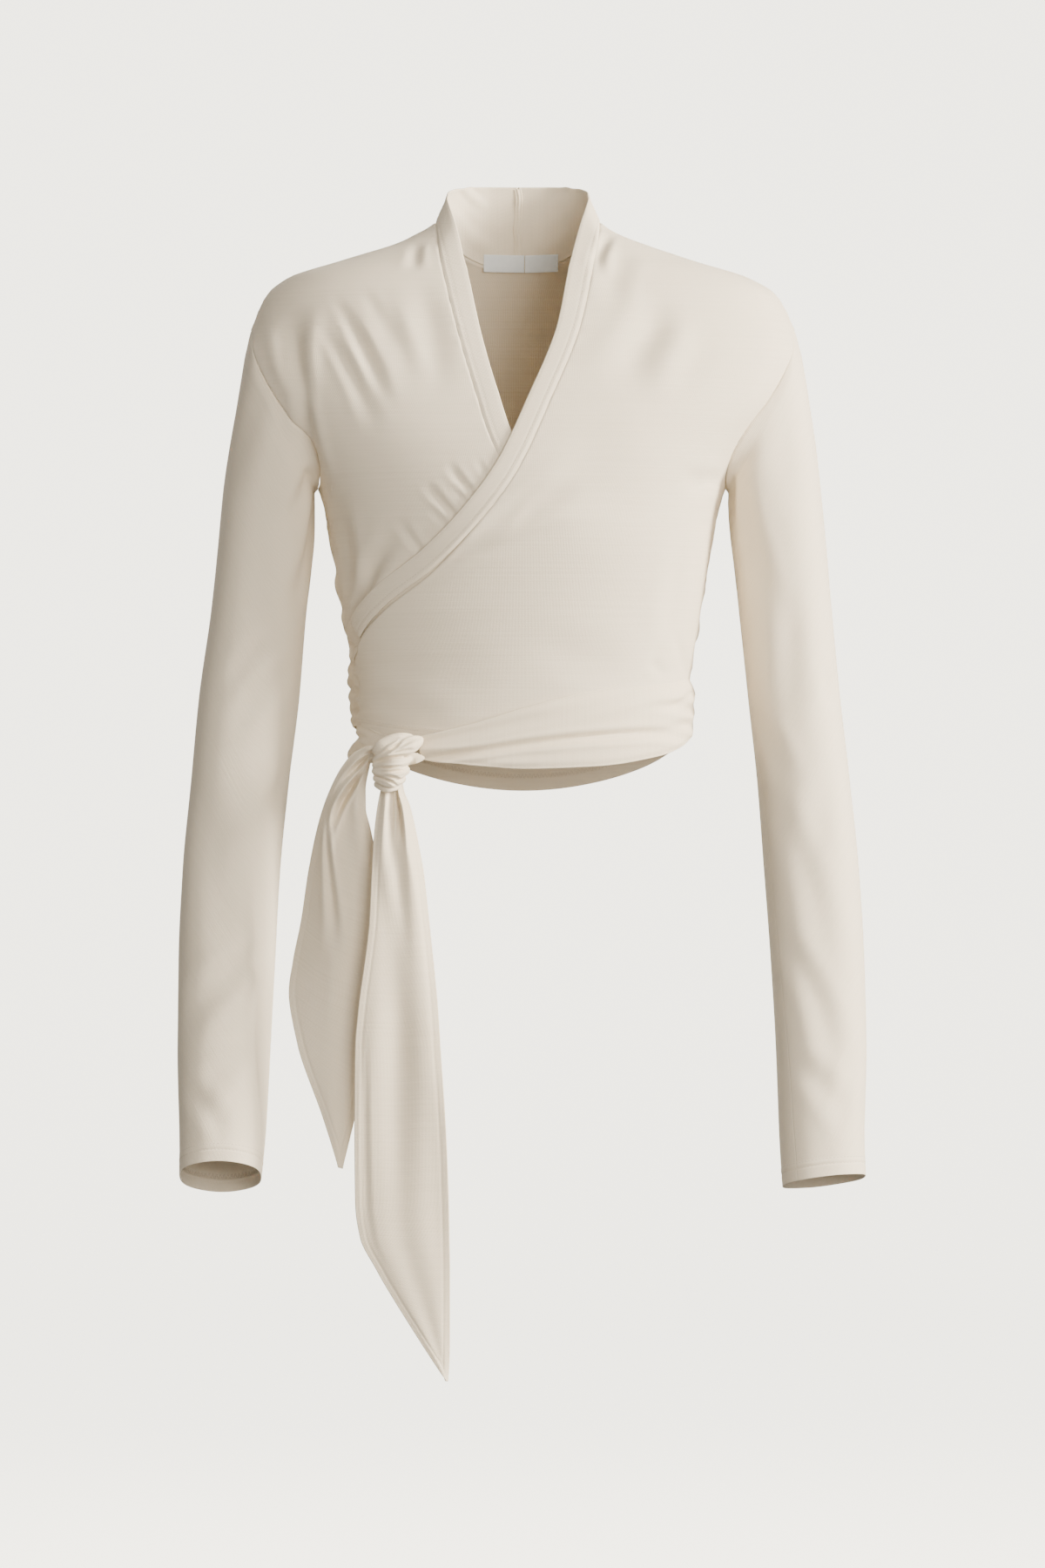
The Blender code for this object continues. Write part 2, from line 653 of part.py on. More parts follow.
def wall(name, grids, colour, closed=False):
    """Closed wall between an outer and an inner grid of the same shape; closed joins the last column to the first."""
    outer, inner = grids
    rows, columns = outer.shape[:2]
    points = np.concatenate((outer.reshape(-1, 3), inner.reshape(-1, 3)))
    under = rows * columns
    last = columns if closed else columns - 1
    faces = []
    for row in range(rows - 1):
        for column in range(last):
            beside = (column + 1) % columns
            a, b = row * columns + column, row * columns + beside
            c, d = b + columns, a + columns
            faces += split(a, b, c, d)
            faces += [face[::-1] for face in split(a + under, b + under, c + under, d + under)]
    for column in range(last):
        beside = (column + 1) % columns
        foot = (rows - 1) * columns
        faces += split(beside, column, column + under, beside + under)
        faces += split(foot + column, foot + beside, foot + beside + under, foot + column + under)
    if not closed:
        for row in range(rows - 1):
            start, end = row * columns, row * columns + columns - 1
            faces += split(start, start + columns, start + columns + under, start + under)
            faces += split(end + columns, end, end + under, end + columns + under)
    return new_piece(name, points, faces, colour)


def ball(name, grid, colour):
    """Closed piece from rings between two poles."""
    rings, top, bottom = grid
    count, sides = rings.shape[:2]
    points = np.concatenate((rings.reshape(-1, 3), [top], [bottom]))
    first, last = count * sides, count * sides + 1
    faces = []
    for side in range(sides):
        beside = (side + 1) % sides
        faces.append((first, beside, side))
        faces.append((last, (count - 1) * sides + side, (count - 1) * sides + beside))
        for ring in range(count - 1):
            a, b = ring * sides + side, ring * sides + beside
            faces += split(a, b, b + sides, a + sides)
    return new_piece(name, points, faces, colour)


def shade(kind):
    return tuple(min(1.0, value * SHADE_OF_PIECE[kind]) for value in CREAM)


def build():
    for item in list(bpy.data.objects):
        bpy.data.objects.remove(item, do_unlink=True)
    wall("back", back_panel(), shade("body"))
    wall("front_under", front_panel(-1), shade("body"))
    wall("front_over", front_panel(1), shade("body"))
    wall("sleeve_left", sleeve(1, LEFT_SLEEVE_ROWS), shade("sleeve"), closed=True)
    wall("sleeve_right", sleeve(-1, RIGHT_SLEEVE_ROWS), shade("sleeve"), closed=True)
    wall("neckband_left", neckband(1), shade("band"))
    wall("neckband_right", neckband(-1), shade("band"))
    wall("sash_over_front", wound_tie(OVER_FRONT_ROWS, 16), shade("tie"))
    wall("sash_over_back", wound_tie(OVER_BACK_ROWS, 17), shade("tie"))
    wall("sash_under_back", wound_tie(UNDER_BACK_ROWS, 20), shade("tie"))
    ball("knot", knot_grid(), shade("tie"))
    wall("tie_end_long", tie_end(LONG_TIE_ROWS, 15), shade("tie"))
    wall("tie_end_short", tie_end(SHORT_TIE_ROWS, 14), shade("tie"))
    for name, from_x, to_x in LABEL_ROWS:
        wall(name, label_grids(from_x, to_x), LABEL_WHITE)


build()
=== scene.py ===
"""Wrap top in cream jersey, worn, with its ties knotted at the wearer's right hip.

Every cloth piece is a thin shell on the form of its solid in the frame. Its main creases are placed
in tables as soft troughs and ridges, and its seams, hems and folded edges are shaped in the mesh. Tables are
in millimetres, with +Z up, -Y to the wearer's front and +X to the wearer's left. A turn of 0 degrees is the
centre front, 90 the wearer's left side, 180 the centre back and -90 the wearer's right side.
"""

import math

import bmesh
import bpy
import numpy as np
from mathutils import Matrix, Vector


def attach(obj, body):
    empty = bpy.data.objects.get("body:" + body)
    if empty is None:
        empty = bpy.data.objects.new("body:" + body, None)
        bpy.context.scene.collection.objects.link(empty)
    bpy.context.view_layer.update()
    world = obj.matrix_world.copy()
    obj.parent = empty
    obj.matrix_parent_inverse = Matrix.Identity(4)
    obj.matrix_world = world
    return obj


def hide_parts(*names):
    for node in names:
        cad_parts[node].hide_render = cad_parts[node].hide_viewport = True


bl_info = {
    "name": "Wrap Top",
    "version": (1, 0, 0),
    "blender": (4, 5, 0),
    "location": "3D View > Sidebar > Wrap Top",
    "description": "Makes a worn jersey wrap top with wound ties, a knot and topstitching",
    "category": "Add Mesh",
}

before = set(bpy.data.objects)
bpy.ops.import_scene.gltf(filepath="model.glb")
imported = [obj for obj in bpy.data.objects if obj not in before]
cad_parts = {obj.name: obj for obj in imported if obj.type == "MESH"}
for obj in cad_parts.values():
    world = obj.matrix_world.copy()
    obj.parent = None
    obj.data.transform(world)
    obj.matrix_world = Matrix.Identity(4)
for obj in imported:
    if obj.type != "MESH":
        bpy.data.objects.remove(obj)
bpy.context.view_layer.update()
BODY_NAME = "root"
MM = 0.001

# Sizes shared with the frame's solids
LAP = 2.8  # height of a lapped layer above the one beneath it
LAP_EASE = 22.0  # width over which the lapped front comes down to its own seams
SOFTENING = 14.0  # reach over which the sections are blended with those above and below
SOFT_FROM, SOFT_REACH = -70.0, 60.0  # height where that blending begins, and the drop over which it grows
SQUARENESS = 0.05  # how much fuller than an ellipse the body's sections are
NECK_CENTRE = -4.25
BAND_WIDTH = 15.5  # neckband along the wrap edge
BAND_FLARE = 2.5  # extra width of the neckband high on the chest
FLARE_FROM, FLARE_REACH = -130.0, 110.0  # height where the flare begins, and the rise over which it grows
BAND_LIES_FROM, BAND_LIES_REACH = -14.0, 26.0  # height where the band starts to lie down, and its drop
HIGH_SHOULDER = 5.0  # height of the shoulder seam at the neck
SHOULDER_TOP = 3.0  # height of the fronts' highest row
SHOULDER_TIP = -80.0  # height where the armhole seam starts
ARMPIT = -204.0
ARMHOLE_DEPTH = 30.0  # turn, in degrees, that the armhole cuts into each panel
WRAP_END = -322.0  # height where the wrap edge reaches the side and its tie starts
SIDE_HEM = -392.0
FRONT_HEM_DIP = 14.0  # how much lower the hem is at the centre than at the sides
BACK_HEM_DIP = 47.0
BACK_HEM_POWER = 1.4  # lower than 2 keeps the back hem low further round

# How the cloth lies and is sewn
CREASE_DEPTH = 1.2  # multiplies every crease
CREASE_SHOULDER = 0.32  # height of the low shoulders beside a crease, as a share of its depth
SWAY_HEIGHT = 0.5  # height of the slow undulation of free cloth
HEM_CALM, SHOULDER_CALM = 24.0, 16.0  # width over which the creases fade at the hem and the shoulders
SLEEVE_CALM = 16.0  # the same below the armhole
HIDDEN_REACH = 9.0  # how far beneath the wrap edge the under front takes on the over front's creases
SIDE_SCALE = 2.4  # distance round the body for each degree of turn
SLEEVE_SCALE = 0.85  # distance round a sleeve for each degree
WOUND_SCALE = 2.2  # distance along a wound tie for each degree of turn
TIE_SCALE = 100.0  # distance across a free end for its whole width
SEAM_LAP = 0.25  # how far the edges of two pieces run into their seam
SEAM_DIP, SEAM_REACH = 0.6, 1.2  # how far a piece rolls in to its seam, and over what width
BAND_SEAM_DIP = 0.35  # the same roll on the stiffer neckband
PUCKER_HEIGHT, BAND_PUCKER_HEIGHT = 0.16, 0.1  # fine gathers beside the seams
PUCKER_PLACE, PUCKER_REACH = 2.2, 2.6  # how far from the seam the gathers are highest, and their spread
HEM_DEPTH = 14.5  # turned-up hem
HEM_RAISE = 0.35  # its extra layer of cloth
HEM_STITCH_ROWS = (9.0, 13.6)  # heights of its twin rows of stitches above the hem's edge
HEM_REACH = 22.0  # height above the hem where the mesh's rows lie close together
STITCH_DENT, DENT_REACH = 0.42, 0.9  # how deep a row of stitches pulls into the cloth, and how widely
BAND_CROWN = 0.3  # soft fullness of the doubled band
CROWN_REACH, EDGE_REACH = 3.0, 2.5  # width over which it rises from the seam and from the fold
BAND_STITCH_ROW = 4.6  # distance of the band's row of stitches from its seam
BAND_DENT_SHARE = 0.6  # how much of the stitches' dent shows on the doubled band
COLLAR_LENGTH = 88.0  # how far the stand reaches from the centre back
COLLAR_SEAM_DIP = 0.7  # groove of the centre-back seam
ALLOWANCE_WIDTH, ALLOWANCE_THICKNESS = 4.6, 0.8  # pressed seam allowances inside the collar
SASH_TUCK, TUCK_REACH = 1.6, 3.0  # how far the edges of a wound tie curl in to the body, and over what width
OVER_FRONT_SETTLES = (4, 34)  # turn where the over tie's upper edge starts to sink in, and its run
OVER_BACK_SETTLES = (190, 50)
UNDER_LEANS = (282, 14)  # the same for the under tie's upper edge, which leans in
TIE_START = 14.0  # turn over which the over front's tie comes away from its seam
SETTLE_REACH = 8.0  # width over which a wound tie's upper edge sinks into the cloth beneath it
SETTLE_DEPTH = 0.4  # how deep that edge sinks
LEAN_SHARE = 0.62  # how much closer to the body the under tie's upper edge lies beside the knot
TIE_RIDGE = 0.005  # softness of the fold where one edge of a free end turns back
TIE_EDGE = 4.6  # width of the seam allowance that shows along a free end's edge
TIE_EDGE_DENT = 0.35
TIE_PLEATS = 2  # pleats across a free end
SLEEVE_LENGTH = 655.0
SLEEVE_FULLNESS = 0.07  # how much fuller than an ellipse the sleeves are
CUFF_REACH = 20.0  # height above the cuff where the mesh's rings lie close together
UNDERARM_SHARES = (0.0, 0.25, 0.4, 0.6, 0.8, 1.0)  # places along a sleeve
UNDERARM_ANGLES = {1: (178, 166, 150, 141, 132, 124), -1: (184, 180, 172, 164, 160, 158)}  # the seam there
LOOP_STEP = 1.5  # length of one limb of the looped stitches' zigzag
LOOP_STANDOFF = 0.15  # how far that zigzag stands off the inside of the cloth
LOOP_SHARE = 1.2  # length of its stitches as a share of a limb
STITCH_SHARE = 0.72  # length of a stitch as a share of its pitch
LABEL_WEAVE = 0.45  # thickness of the labels
LABEL_TILT = 0.028  # how fast a label's line rises along it
LABEL_WAVE = 0.35  # height of the waves in its free edge
LABEL_LEAN = (4.4, 0.6)  # how far the labels' upper and lower edges stand off the cloth
FAR_FROM_LINE = 60.0  # distance given to places that have no seam line near them
KNOT_VOXEL = 0.0007  # size of the cells of the knot's skin, in metres
KNOT_GIRTH = 0.016  # length of cloth round the knot for each radian, in metres
BACK_NECK = -28.0  # height of the neck seam at the centre back
WALL = 1.5  # thickness of the solids' walls

# Cloth finish
SLUB_SCALE = (9, 520, 1)  # slubs run round the body: few for each metre along them, many across
JERSEY_SLUB, TIE_SLUB = 0.34, 0.38  # how much the slubs change the colour
CLOUD_SCALE, FUZZ_SCALE = 7.0, 1400.0  # slow changes in colour and fine fuzz, for each metre
CLOUD_SHADE, FUZZ_SHADE, LOOP_SHADE, SEAM_PAINTED_SHADE = 0.10, 0.06, 0.012, 0.16  # how much each changes the colour; the seam's is painted shade in its groove
LOOP_BUMP, SLUB_BUMP, FUZZ_BUMP, SEAM_BUMP = 0.35, 0.9, 0.5, 1.6  # how much each raises or dents the knit
SEAM_LINE_REACH = 0.55  # half width of a seam's dent and of its line of painted shade, in millimetres
DARK_SHARES = (0.84, 0.82, 0.78)  # the jersey's darkest shade as shares of its colour's red, green and blue
LIGHT_SHARE = 1.16  # its lightest shade
THREAD_DARK_SHARE, LABEL_DARK_SHARE = 0.88, 0.86  # the darkest shades of the thread and the labels
RIB_PITCH = 0.0005  # ribs of the labels' weave
COURSE_SHARE = 0.8  # height of a knitted loop as a share of its width
MIX_FROM, MIX_TO, MIX_RESULT = 6, 7, 2  # a Mix node's sockets for colours

# Studio
CAMERA_ASIDE = -0.7  # the camera stands this far to the wearer's right, in millimetres
BACKDROP_COLOUR = (0.80, 0.775, 0.68)
BACKDROP_GLOW = 4.4
STUDIO_RADIUS, STUDIO_BEND, STUDIO_HEIGHT = 9.0, 1.5, 9.0
ROOM_COLOUR = (0.98, 0.917, 0.83)
# Each light's name, place, size, the setting that holds its power, and its colour
LIGHTS = (
    ("key light", (3.2, -1.15, 0.8), (1.1, 1.6), "key_power", (1.0, 0.905, 0.77)),
    ("fill light", (1.3, -3.3, 0.3), (1.8, 1.8), "fill_power", (1.0, 0.915, 0.80)),
    ("back light", (-0.6, 3.4, 1.5), (2.0, 2.0), "back_power", (1.0, 0.92, 0.80)),
)

CLOTH_UV = "cloth"
LINE_ATTRIBUTE = "line"
UP_ATTRIBUTE = "up"
RIM_ANGLES = (0.7, 1.25)  # places of the two extra lines round a rounded rim, in radians
OPEN_RIMS = ((0, 0), (0, -1), (1, 0), (1, -1))  # all four edges of a grid

# How many rows and columns each piece's mesh has
SHOULDER_ROWS, ARMHOLE_ROWS, SIDE_ROWS, HEM_ROWS = 34, 52, 66, 26
FRONT_COLUMNS, HALF_BACK_COLUMNS = 112, 74
BAND_COLUMNS, COLLAR_ROWS = 20, 60
SLEEVE_HEAD_RINGS, SLEEVE_RINGS = 26, 190
SASH_COLUMNS = 40
TIE_ROWS, TIE_COLUMNS = 190, 56
WOUND_STEPS = 300
KNOT_RINGS, KNOT_COLUMNS = 40, 28
EDGE_SAMPLES = 160
TURN_ROUNDS = 12  # rounds of the search for the turn at a place

# Horizontal sections of the body: half widths to the wearer's left and right, depths to the front and back
BODY_COLUMNS = ("z", "left", "right", "front", "back")
BODY_ROWS = (
    (35, 50, 58, 18, 30),
    (5, 60, 68.5, 24, 34),
    (-5, 74, 84, 33, 44),
    (-12, 92, 98, 39, 51),
    (-26, 135, 142, 50, 62),
    (-39, 176, 184, 60, 71),
    (-53, 198, 201, 69, 79),
    (-80, 212, 213, 83, 90),
    (-104, 223, 224, 93, 95),
    (-134, 215, 216, 104, 99),
    (-160, 190, 191, 112, 99),
    (-188, 167, 169, 117, 97),
    (-204, 157, 160, 118, 95),
    (-232, 150, 152, 116, 91),
    (-284, 141.5, 145, 105, 83),
    (-328, 135, 136, 96, 78),
    (-352, 129.5, 130.5, 93, 77),
    (-392, 127, 128, 91, 79),
    (-440, 126, 126, 92, 82),
)

# Neck seam and standing edge of the neckband, from the centre back round to the high shoulder
NECK_COLUMNS = ("station", "seam_x", "seam_z", "edge_x", "edge_y", "edge_z")
NECK_ROWS = (
    (0.00, 0, -28, 0, 50, 35),
    (0.30, 22, -26, 20, 48.5, 35),
    (0.55, 40, -19.5, 37, 42, 34.5),
    (0.76, 54, -9, 50, 29, 32),
    (0.90, 62, 1, 55.5, 16, 28),
    (1.00, 64.25, 5, 56, 4, 23),
)
FRONT_NECK_COLUMNS = ("z", "edge_x", "edge_y", "edge_z")
FRONT_NECK_ROWS = (
    (5, 56, 4, 23),
    (-5, 53, -10, 14),
    (-16, 48.5, -27, 0),
    (-30, 43.5, -45, -22),
)

# Seam between each front and its band: the wearer's left front laps over, the right one runs on beneath it
SEAM_COLUMNS = ("z", "x")
LEFT_SEAM_ROWS = (
    (5, 60),
    (-34, 53.5),
    (-81, 43.5),
    (-140, 20),
    (-194, -5.3),
    (-232, -33.5),
    (-267, -68),
    (-298, -108),
    (-316, -123),
    (-330, -128),
    (-352, -127),
    (-392, -124.5),
)
RIGHT_SEAM_ROWS = (
    (5, -68.5),
    (-16, -66),
    (-54, -58),
    (-97, -47),
    (-134, -36),
    (-167, -25.5),
    (-204, -5),
    (-232, 20),
    (-267, 56),
    (-298, 90),
    (-330, 108),
    (-392, 110),
)

# Sleeves, ring by ring below the armhole: outer and inner edge, middle, half depth, and the tip of the ring
SLEEVE_COLUMNS = ("outer_z", "outer_x", "inner_z", "inner_x", "middle_y", "depth", "pitch")
RIGHT_SLEEVE_ROWS = (
    (-104, 218.5, -208, 163, -1, 54, 0),
    (-135, 223.5, -215, 163, 1, 55, 0),
    (-170, 229, -226, 163.3, 4, 55, 0),
    (-205, 234, -242, 164, 7, 54, 0),
    (-250, 238.5, -264, 166, 10, 53, 0),
    (-300, 244, -302, 170, 12, 52, 1),
    (-366, 253.5, -366, 175.5, 13, 51, 2),
    (-434, 260, -434, 184, 10, 49, 4),
    (-502, 266.5, -502, 190, 3, 47, 6),
    (-570, 269, -570, 193, -8, 45, 8),
    (-638, 269, -638, 196.5, -20, 42, 10),
    (-706, 267, -706, 200.5, -34, 39, 12),
    (-738, 266.5, -738, 203.5, -41, 38, 14),
)
LEFT_SLEEVE_ROWS = (
    (-104, 218.5, -208, 160, -1, 54, 0),
    (-135, 223.5, -215, 160, 1, 55, 0),
    (-170, 228.5, -226, 160.5, 4, 55, 0),
    (-205, 232, -242, 162, 7, 54, 0),
    (-250, 236.5, -264, 165, 10, 53, 0),
    (-300, 241, -302, 169, 12, 52, 1),
    (-366, 247.5, -366, 176, 13, 51, 2),
    (-434, 255.5, -434, 183.5, 10, 49, 3),
    (-502, 262.5, -502, 188, 4, 47, 4),
    (-570, 266, -572, 192.5, -6, 45, 5),
    (-638, 267, -641, 196.5, -16, 42, 6),
    (-706, 265, -712, 199.5, -28, 39, 6),
    (-738, 265.5, -746, 201.5, -34, 38, 6),
)

# The two ties where they are wound: the edges' heights round the body, the lift and the depth of the gathers
WOUND_COLUMNS = ("turn", "top", "bottom", "lift", "gather")
OVER_FRONT_ROWS = (
    (112, -350, -398, 5.4, 0.5),
    (90, -350, -396, 5.6, 0.5),
    (50, -353, -412, 6.0, 0.5),
    (25, -362, -420, 6.0, 0.7),
    (0, -376, -422, 6.4, 1.0),
    (-18, -389, -419, 8.0, 1.4),
    (-33.9, -398, -415, 12.0, 1.6),
)
OVER_BACK_ROWS = (
    (112.4, -350, -398, 5.4, 0.5),
    (150, -353, -402, 6.0, 0.6),
    (200, -352, -402, 6.0, 0.6),
    (240, -343, -396, 6.0, 0.8),
    (270, -334, -388, 5.6, 1.0),
    (285.6, -327, -389, 2.6, 0.4),
)
UNDER_BACK_ROWS = (
    (96, -372, -398, 2.6, 0.0),
    (140, -376, -412, 2.6, 0.0),
    (200, -380, -418, 2.6, 0.0),
    (245, -387, -417, 2.7, 0.2),
    (270, -388, -413, 3.0, 0.6),
    (290, -388.5, -412, 6.0, 1.0),
    (308, -396, -412, 13.0, 1.0),
    (316, -399, -411, 14.0, 0.4),
)

# Free ends of the ties, station by station from the knot to the tip: both edges, place to the front, depth
# of the pleats, and the share of the width and the depth by which one edge turns back
TIE_COLUMN_NAMES = ("outer_x", "outer_z", "inner_x", "inner_z", "y", "pleat", "ridge", "fall")
LONG_TIE_ROWS = (
    (-107, -430, -94, -430, -86, 1.0, 0.2, 0),
    (-109.5, -439.2, -92, -439.2, -87.5, 2.0, 0.2, 2),
    (-112, -452, -87, -452, -91, 2.4, 0.24, 5),
    (-114.5, -474, -82, -474, -93, 2.2, 0.28, 8),
    (-116, -501, -77, -501, -93, 1.8, 0.22, 7),
    (-118, -541, -72.5, -541, -92, 1.4, 0.16, 4),
    (-126.5, -608, -66, -608, -91, 1.2, 0.14, 2),
    (-129, -640, -64, -640, -90, 1.0, 0.12, 1),
    (-129.5, -702, -60, -702, -89, 1.0, 0.1, 0),
    (-129, -755, -58, -755, -89, 0.8, 0.1, 0),
    (-125.5, -782, -57.5, -782, -89, 0.8, 0.1, 0),
    (-111.5, -810, -57, -810, -89, 0.6, 0.1, 0),
    (-79, -863, -57, -863, -89, 0.3, 0.1, 0),
    (-60, -892, -58, -893, -89, 0.0, 0.1, 0),
)
SHORT_TIE_ROWS = (
    (-110, -407, -110, -415, -85, 0.6, 0.4, 0),
    (-118, -405, -117.5, -416, -82, 1.0, 0.4, 0),
    (-129, -409, -120, -425, -80, 1.6, 0.4, 2),
    (-140, -421, -122, -438, -79, 1.8, 0.32, 4),
    (-150, -440, -122, -452, -79, 1.8, 0.2, 6),
    (-158, -463, -118, -470, -78, 1.2, 0.2, 10),
    (-166, -500, -112, -503, -77, 0.8, 0.3, 16),
    (-172, -540, -110, -541, -76, 0.6, 0.38, 18),
    (-178, -570, -111, -570, -75, 0.5, 0.44, 18),
    (-181, -595, -113, -595, -75, 0.5, 0.47, 12),
    (-174, -635, -120, -635, -75, 0.5, 0.48, 5),
    (-155, -689, -130, -689, -75, 0.4, 0.4, 1),
    (-142, -729, -140, -730, -75, 0.0, 0.4, 0),
)

# Labels on the inside of the back neck: their ends across and share of the tilt
LABEL_ROWS = (
    ("label_main", -31, 0.5, -0.6),
    ("label_size", 1.5, 27, 1),
)
LABEL_TOP = -17.5
LABEL_BOTTOM = -30.5
LABEL_STANDOFF = 1.7
LABEL_CURL = 0.0018  # how fast the labels curve away from the middle of the neck, in 1/mm

# Creases as soft troughs (negative) and ridges: where each starts and ends, how far its middle bends aside,
# its width at both ends and its height. The first four are x and z, unless a table says otherwise.
UNDER_FRONT_CREASES = (
    (-179, -70, -170, -134, 3, 10, 6, -5.2),
    (-171, -126, -157, -208, 3, 5, 7, -3.8),
    (-151, -88, -114, -160, -3, 4, 7, -1.8),
    (-144, -62, -107, -142, -4, 3.6, 6.5, -2.0),
    (-123, -54, -101, -104, -2, 4, 6, -0.9),
    (-110, -62, -84, -134, -3, 5, 8, -1.0),
    (-83, -14, -85, -36, 0, 4, 5, -1.5),
    (-81, -48, -67, -136, -4, 9, 12, -1.5),
    (-36, -186, -20, -209, 0, 2.6, 1.8, -0.6),
    (-57, -190, -30, -220, 1, 3.4, 2.0, -1.5),
    (-54, -207, -37, -226, 0, 2.2, 1.6, -0.7),
    (-74, -205, -44, -236, 1, 3.6, 2.0, -1.9),
    (-72, -222, -52, -244, 0, 2.6, 1.8, -0.8),
    (-96, -232, -71, -264, 1, 4.0, 2.2, -1.4),
    (-97, -238, -131, -311, 4, 8, 4, -2.8),
    (-113, -256, -132, -314, 2, 6, 3, -2.0),
    (-145, -214, -133, -311, -3, 7, 4, -2.4),
    (-82, -264, -130, -314, 2, 3.5, 4, -3.2),
)
OVER_FRONT_CREASES = (
    (-52, -255, 60, -200, -6, 3.5, 13, -1.7),
    (-74, -275, -10, -246, -3, 3.5, 7, -1.1),
    (-6, -236, 40, -210, -2, 4, 9, -1.1),
    (108, -62, 72, -128, -3, 12, 15, -2.6),
    (128, -82, 98, -128, 2, 11, 13, 1.3),
    (68, -8, 56, -40, 3, 4, 5.5, -2.4),
    (82, -22, 66, -66, 3, 8, 10, -1.2),
    (154, -197, 122, -204, 0, 6, 10, -1.3),
    (118, -320, 124, -347, 0, 3.2, 4, -0.9),
    (96, -338, 108, -351, 0, 3, 4, -0.8),
    (106, -324, 98, -346, 1, 4, 4, -0.7),
    (126, -246, 112, -332, 3, 9, 8, -1.4),
    (-122, -338, -24, -352, 3, 11, 18, -1.2),
    (-120, -364, -58, -379, 2, 7, 11, -0.9),
    (-118, -316, -30, -322, 3, 9, 16, -0.8),
    (10, -330, 84, -352, -3, 12, 16, -0.9),
    (40, -160, 96, -236, 8, 20, 26, -0.9),
)
BACK_CREASES = (
    (178, -72, 167, -160, -3, 10, 7, -4.4),
    (-178, -72, -166, -164, 3, 10, 7, -4.6),
    (150, -84, 118, -168, 4, 8, 12, -2.0),
    (-152, -82, -112, -176, -4, 9, 12, -2.2),
    (96, -66, 84, -150, 2, 12, 15, -1.2),
    (-70, -54, -58, -150, -3, 12, 16, -1.0),
    (24, -60, 16, -270, 5, 20, 24, -1.6),
    (-34, -90, -20, -290, -4, 16, 22, -1.3),
    (-140, -218, -46, -318, -8, 10, 14, -2.8),
    (140, -232, 34, -322, 8, 10, 13, -2.5),
    (-128, -256, -10, -336, -6, 9, 10, -2.2),
    (122, -270, 4, -338, 6, 9, 11, -1.9),
    (-106, -300, 76, -330, -4, 8, 10, -1.9),
    (110, -308, -60, -342, 5, 7, 9, -1.6),
    (-60, -288, 60, -306, -4, 9, 10, -1.2),
)
# On the collar these are distances from the centre back and from the neck seam
COLLAR_CREASES = (
    (24, 47, 60, 55, 1, 3, 5, -1.1),
    (14, 16, 54, 22, 2, 5, 7, -0.8),
    (48, 30, 86, 14, 2, 5, 8, -1.2),
)
# On the side seams these are 2.4 mm for each degree of turn, and heights
SIDE_CREASES = (
    (-168, -329, -222, -323, 1, 3.4, 6, -2.0),
    (-168, -340, -228, -336, -2, 3.0, 6, -2.3),
    (-168, -352, -216, -351, 1, 3.2, 5, -1.8),
    (-168, -364, -226, -358, 2, 3.4, 6, -2.4),
    (-168, -374, -220, -376, -1, 3.2, 5, -1.9),
    (-190, -300, -240, -290, 3, 6, 9, -1.8),
    (-184, -276, -236, -262, 4, 8, 10, -1.5),
    (-196, -240, -220, -206, 2, 6, 8, -2.2),
    (204, -218, 226, -250, -2, 5, 8, -2.0),
    (196, -322, 244, -330, 3, 7, 9, -1.6),
    (198, -300, 250, -306, -2, 8, 10, -1.4),
)
# On the sleeves these are 0.85 mm for each degree from the outer edge round the front, and heights
RIGHT_SLEEVE_CREASES = (
    (118, -564, 28, -626, 6, 9, 13, -2.7),
    (96, -326, 54, -352, 3, 7, 9, -1.6),
    (120, -348, 66, -384, 4, 8, 11, -1.5),
    (140, -212, 112, -300, -5, 7, 11, -2.6),
    (128, -176, 100, -232, -3, 6, 9, -2.4),
    (60, -118, 36, -214, 4, 12, 16, -1.6),
    (134, -420, 92, -520, 6, 9, 14, -1.7),
    (40, -430, 70, -560, -5, 14, 16, -1.2),
    (110, -640, 44, -676, 3, 8, 12, -1.5),
    (32, -668, 84, -704, -3, 8, 10, -1.2),
    (176, -240, 214, -330, 4, 8, 12, -2.8),
    (268, -330, 196, -392, 5, 9, 12, -2.6),
    (276, -372, 206, -430, 4, 9, 12, -2.2),
    (282, -150, 246, -300, -6, 14, 18, -2.0),
    (190, -470, 250, -580, 6, 12, 15, -2.0),
    (262, -610, 186, -660, 4, 9, 13, -1.8),
    (200, -680, 270, -706, -3, 9, 11, -1.4),
)
LEFT_SLEEVE_CREASES = (
    (70, -286, 96, -400, 3, 10, 14, -1.1),
    (35, -346, 42, -376, 0, 8, 8, -1.6),
    (108, -446, 62, -590, 5, 10, 15, -1.2),
    (112, -552, 58, -662, 6, 9, 14, -1.6),
    (124, -178, 132, -236, -2, 5, 7, -3.0),
    (112, -196, 96, -300, -3, 8, 14, -1.5),
    (48, -120, 66, -220, -4, 14, 16, -1.4),
    (124, -380, 96, -440, 4, 8, 12, -1.2),
    (46, -420, 74, -500, -4, 12, 14, -1.2),
    (108, -650, 50, -690, 3, 9, 12, -1.5),
    (36, -640, 60, -700, -2, 9, 10, -1.1),
    (178, -242, 216, -326, 4, 8, 12, -2.6),
    (266, -318, 198, -380, 5, 9, 12, -2.4),
    (274, -364, 204, -424, 4, 9, 12, -2.2),
    (280, -150, 250, -290, -6, 14, 18, -1.9),
    (196, -480, 256, -590, 6, 12, 15, -1.9),
    (258, -606, 190, -668, 4, 9, 13, -1.7),
    (204, -690, 268, -716, -3, 9, 11, -1.3),
)
